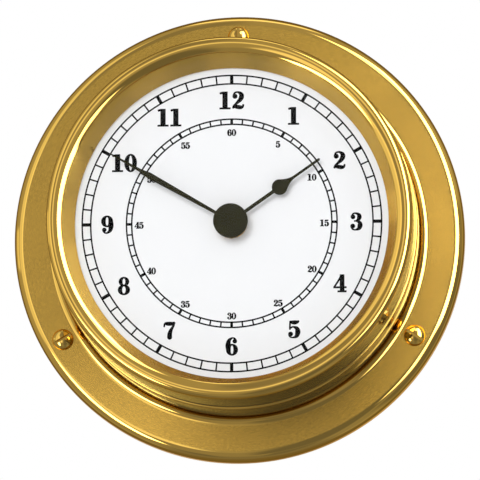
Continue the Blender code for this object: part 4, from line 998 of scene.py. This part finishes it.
def hour_hand_outline():
    """Thin arm, round lobe drawn out into a needle."""
    arm = HOUR_ARM_WIDTH / 2
    needle = NEEDLE_WIDTH / 2
    half = boss_arc(arm)
    half += arc((0.0, LOBE_CENTRE), LOBE_RADIUS, -acos(arm / LOBE_RADIUS), LOBE_LEAVE_ANGLE, LOBE_STEPS)
    start = half[-1]
    corner = (needle, start[1] + (start[0] - needle) / tan(LOBE_TAPER_SLOPE))
    half += bend(start, corner, (needle, LOBE_CENTRE + LOBE_TAPER_LENGTH))
    half += [(needle, HOUR_HAND_LENGTH - needle), (0.0, HOUR_HAND_LENGTH)]
    return mirrored(half)


def minute_hand_outline():
    """Arm that widens to a shoulder, then a needle."""
    needle = NEEDLE_WIDTH / 2
    half = boss_arc(MINUTE_ARM_ROOT_WIDTH / 2)
    half += [
        (MINUTE_ARM_END_WIDTH / 2, MINUTE_SHOULDER),
        (NEEDLE_ROOT_WIDTH / 2, MINUTE_SHOULDER + MINUTE_SHOULDER_LENGTH),
        (needle / 2, MINUTE_HAND_LENGTH - needle),
        (0.0, MINUTE_HAND_LENGTH),
    ]
    return mirrored(half)


def make_hand(name, outline, turn, hole, bottom, body, node):
    """Flat hand with eased edges."""
    bm = bmesh.new()
    add_prism(bm, turned_about(outline, turn), bottom, bottom + HAND_THICKNESS)
    hand = finish(name, bm, ["hand_lacquer"])
    bm = bmesh.new()
    bore = circle((0.0, 0.0), hole, HAND_HOLE_STEPS)
    add_prism(bm, bore, bottom - HAND_THICKNESS, bottom + 2 * HAND_THICKNESS)
    cut(hand, finish(name + "_hole", bm, ["hand_lacquer"]))
    soften(hand, HAND_EDGE)
    dress(hand, body, "hand_lacquer", node)


def make_hands():
    """Hour hand, minute hand and the cap over their fixing."""
    make_hand("hour_hand_shaped", hour_hand_outline(), HOUR_TURN, HOUR_HAND_HOLE, HOUR_HAND_BOTTOM,
              "hour", "hour_hand")
    make_hand("minute_hand_shaped", minute_hand_outline(), MINUTE_TURN, MINUTE_HAND_HOLE, MINUTE_HAND_BOTTOM,
              "minute", "minute_hand")
    rim = (HUB_CAP_RADIUS - HUB_CAP_ROUND, HUB_CAP_TOP - HUB_CAP_ROUND)
    section = [(0.0, HUB_CAP_BOTTOM), (HUB_CAP_RADIUS, HUB_CAP_BOTTOM)]
    section += arc(rim, HUB_CAP_ROUND, 0.0, pi / 2) + [(0.0, HUB_CAP_TOP)]
    cap = lathe("hub_cap_turned", section, "hand_lacquer", SMALL_STEPS, closed=False)
    dress(cap, "minute", "hand_lacquer", "hub_cap")


# Movement behind the dial


def make_cell():
    """Penlight cell: plain sleeve rolled over two bright ends."""
    body = CELL_HALF_LENGTH - CELL_CAP_LENGTH
    edge = CELL_RADIUS - CELL_EDGE
    runs = [
        ([(0.0, -CELL_HALF_LENGTH), (CELL_RADIUS - CELL_RIM, -CELL_HALF_LENGTH)], "steel"),
        (arc((edge, CELL_EDGE - CELL_HALF_LENGTH), CELL_EDGE, -pi / 2, 0.0), "cell_sleeve"),
        (arc((edge, body - CELL_EDGE), CELL_EDGE, 0.0, pi / 2), "cell_sleeve"),
        ([(CELL_RADIUS - CELL_RIM, body), (CELL_CAP_RADIUS, body)], "steel"),
        (arc((CELL_CAP_RADIUS - CELL_EDGE, CELL_HALF_LENGTH - CELL_EDGE), CELL_EDGE, 0.0, pi / 2), "steel"),
        ([(0.0, CELL_HALF_LENGTH)], "steel"),
    ]

    def stand(x, y, z):
        return world(z, CELL_AXIS_Y + y, CELL_HEIGHT + x)

    cell = lathe_skins("cell_sleeved", runs, ["cell_sleeve", "steel"], SMALL_STEPS, stand, closed=False)
    dress(cell, "clock", "cell_sleeve", "battery")


CARRIED_NODES = {
    "steel": ("coil_core", "stator", "quartz_crystal", "contact_positive", "contact_negative"),
    "turned_brass": ("nut_washer", "fixing_nut", "centre_bush", "minute_tube"),
    "rubber": ("dial_cushion",),
    "black_plastic": ("timing_chip",),
    "white_plastic": ("train_plate", "coil_bobbin", "hour_wheel", "minute_wheel", "setting_arbor",
                      "centre_wheel", "third_wheel", "fourth_wheel", "fifth_wheel", "rotor_pinion"),
    "copper": ("coil_winding",),
    "circuit_green": ("circuit_board",),
    "magnet": ("rotor_magnet",),
}
MOULDED_NODES = {"movement_housing": "clock", "movement_cover": "clock", "setting_knob": "setting"}


def make_mouldings():
    """Black mouldings of the movement, shaped as in the CAD model, with eased edges."""
    for node, body in MOULDED_NODES.items():
        mesh = frame["nodes"][node].data.copy()
        mesh.materials.clear()
        mesh.materials.append(MATERIALS["black_plastic"])
        piece = add_object(node + "_moulded", mesh)
        soften(piece, MOULD_EDGE)
        dress(piece, body, "black_plastic", node)


def carry_nodes():
    """Give the CAD nodes that stay their materials."""
    for material, nodes in CARRIED_NODES.items():
        for node in nodes:
            mesh = frame["nodes"][node].data
            mesh.materials.clear()
            mesh.materials.append(MATERIALS[material])


# Studio


def heading(azimuth, elevation):
    """Direction from the clock, with azimuth 0 straight in front of it and 90 degrees to its right."""
    return Vector((sin(azimuth) * cos(elevation), -cos(azimuth) * cos(elevation), sin(elevation)))


def make_camera():
    """Long lens, a little to the right of the clock and below it."""
    data = bpy.data.cameras.new("camera")
    data.sensor_width = SENSOR_WIDTH
    data.lens = CAMERA_LENS
    data.clip_end = CAMERA_REACH
    camera = add_object("camera", data)
    view = heading(CAMERA_AZIMUTH, CAMERA_ELEVATION)
    camera.location = Vector(AIM) + view * CAMERA_DISTANCE
    camera.rotation_euler = view.to_track_quat('Z', 'Y').to_euler()
    bpy.context.scene.camera = camera


def make_lamp(name, azimuth, elevation, power):
    """Soft square lamp that looks at the clock. Its reflection is left to the studio's panels."""
    data = bpy.data.lights.new(name, 'AREA')
    data.size = LAMP_SIZE
    data.energy = power
    lamp = add_object(name, data)
    away = heading(radians(azimuth), radians(elevation))
    lamp.location = away * LAMP_DISTANCE
    lamp.rotation_euler = away.to_track_quat('Z', 'Y').to_euler()
    lamp.visible_glossy = False


# Panels and flags of the studio, as brass and glass reflect them: azimuth, elevation, half width, half height
# and softness in degrees, and the light's colour. Each covers those before it.
PANELS = (
    (0, -50, 90, 18, 12, (0.34, 0.345, 0.37)),
    (0, -80, 180, 12, 8, (0.26, 0.265, 0.30)),
    (0, 90, 180, 12, 6, (1.60, 1.66, 1.80)),
    (-150, 0, 30, 80, 12, (0.22, 0.20, 0.17)),
    (150, 0, 30, 80, 12, (0.22, 0.20, 0.17)),
    (-170, 2, 14, 16, 8, (0.80, 0.80, 0.80)),
    (170, 2, 14, 16, 8, (0.80, 0.80, 0.80)),
    (-74, 20, 12, 32, 8, (0.48, 0.48, 0.46)),
    (-51, 20, 12, 32, 6, (1.0, 1.0, 0.95)),
    (-34, 10, 4, 22, 5, (1.25, 1.25, 1.20)),
    (-84, 6, 12, 4, 2, (1.0, 1.0, 0.90)),
    (79, 38, 10, 22, 6, (0.60, 0.60, 0.60)),
    (80, 0, 16, 14, 6, (0.30, 0.30, 0.31)),
    (78, -22, 22, 20, 8, (0.20, 0.205, 0.24)),
    (-20, 42, 11, 16, 8, (0.30, 0.305, 0.34)),
    (18, -30, 15, 20, 8, (0.19, 0.20, 0.24)),
    (26, -66, 14, 7, 5, (0.20, 0.21, 0.25)),
    (-38, -66, 11, 5, 5, (0.20, 0.21, 0.25)),
    (-19, 10, 7, 16, 4, (0.36, 0.36, 0.37)),
    (-4, 10, 3, 3, 4, (1.05, 1.05, 1.05)),
    (45, 20, 13, 32, 4, (8.5, 8.5, 8.5)),
    (27, 42, 9, 6, 6, (4.5, 4.5, 4.5)),
    (36, -17, 8, 5, 4, (5.0, 5.0, 5.0)),
    (-17, -14, 5, 8, 5, (1.3, 1.3, 1.3)),
    (-41, -28, 6, 10, 6, (7.0, 7.0, 7.0)),
    (-39, -41, 4, 4, 4, (9.0, 9.0, 9.0)),
)


def panel_band(tree, angle, centre, half, softness):
    """One at an angle inside a panel, falling to nothing over its soft edge."""
    off = math(tree, 'ABSOLUTE', math(tree, 'SUBTRACT', angle, radians(centre)))
    return ramp(tree, off, radians(half + softness), radians(half))


def make_surround():
    """Grey studio round the clock with its light panels and dark flags. It is seen only in reflections. What
    it throws on the dial by way of the brass is cooled, so that the dial stays white."""
    bm = bmesh.new()
    bmesh.ops.create_uvsphere(bm, u_segments=STUDIO_SEGMENTS, v_segments=STUDIO_RINGS, radius=STUDIO_RADIUS)
    mesh = as_mesh("surround", bm)
    material = bpy.data.materials.new("surround")
    material.use_nodes = True
    tree = material.node_tree
    tree.nodes.remove(tree.nodes["Principled BSDF"])
    place = make_node(tree, "ShaderNodeNewGeometry").outputs["Position"]
    way = make_node(tree, "ShaderNodeVectorMath", {0: place}, operation='NORMALIZE').outputs[0]
    split = make_node(tree, "ShaderNodeSeparateXYZ", {0: way})
    forward = math(tree, 'MULTIPLY', split.outputs[1], -1.0)
    azimuth = math(tree, 'ARCTAN2', split.outputs[0], forward)
    elevation = math(tree, 'ARCSINE', split.outputs[2])
    colour = STUDIO_GREY
    for across, up, half_width, half_height, softness, light in PANELS:
        width = panel_band(tree, azimuth, across, half_width, softness)
        height = panel_band(tree, elevation, up, half_height, softness)
        colour = blend_colours(tree, math(tree, 'MULTIPLY', width, height), colour, light)
    bounces = make_node(tree, "ShaderNodeLightPath").outputs["Diffuse Depth"]
    bounced = math(tree, 'GREATER_THAN', bounces, 0.5)
    tint = blend_colours(tree, bounced, WHITE, BOUNCE_TINT)
    colour = make_node(tree, "ShaderNodeVectorMath", {0: colour, 1: tint}, operation='MULTIPLY').outputs[0]
    emission = make_node(tree, "ShaderNodeEmission", {"Color": colour})
    tree.links.new(emission.outputs[0], tree.nodes["Material Output"].inputs["Surface"])
    mesh.materials.append(material)
    surround = add_object("surround", mesh)
    surround.visible_camera = False
    surround.visible_diffuse = False
    surround.visible_shadow = False


def make_floor():
    """Pale floor well below the clock, clear from underneath."""
    bm = bmesh.new()
    bmesh.ops.create_grid(bm, x_segments=1, y_segments=1, size=FLOOR_SIZE)
    mesh = as_mesh("floor", bm)
    material, shader = principled("floor_pale", FLOOR_COLOUR, FLOOR_ROUGHNESS)
    tree = material.node_tree
    clear = make_node(tree, "ShaderNodeBsdfTransparent")
    under = make_node(tree, "ShaderNodeNewGeometry").outputs["Backfacing"]
    mixed = make_node(tree, "ShaderNodeMixShader", {0: under, 1: shader.outputs[0], 2: clear.outputs[0]})
    tree.links.new(mixed.outputs[0], tree.nodes["Material Output"].inputs["Surface"])
    mesh.materials.append(material)
    floor = add_object("floor", mesh)
    floor.location.z = FLOOR_HEIGHT
    floor.visible_glossy = False


def make_sky():
    """White behind the clock for the camera, metal and glass, and a soft even light from all round."""
    sky = bpy.data.worlds.new("sky")
    sky.use_nodes = True
    tree = sky.node_tree
    path = make_node(tree, "ShaderNodeLightPath")
    seen = math(tree, 'MAXIMUM', path.outputs["Is Camera Ray"], path.outputs["Is Glossy Ray"])
    seen = math(tree, 'MAXIMUM', seen, path.outputs["Is Transmission Ray"])
    strength = remap(tree, seen, AMBIENT, 1.0)
    background = tree.nodes["Background"]
    background.inputs["Color"].default_value = (*WHITE, 1.0)
    tree.links.new(strength, background.inputs["Strength"])
    bpy.context.scene.world = sky


make_case()
for screw in SCREWS:
    make_screw(*screw)
make_bezel()
make_snap_ring()
make_window()
make_dial()
make_print()
make_hands()
make_cell()
make_mouldings()
carry_nodes()
make_camera()
make_lamp("key_lamp", azimuth=-10, elevation=10, power=13.0)
make_lamp("back_lamp", azimuth=160, elevation=40, power=11.0)
make_surround()
make_floor()
make_sky()
bpy.context.scene.view_settings.view_transform = 'Standard'
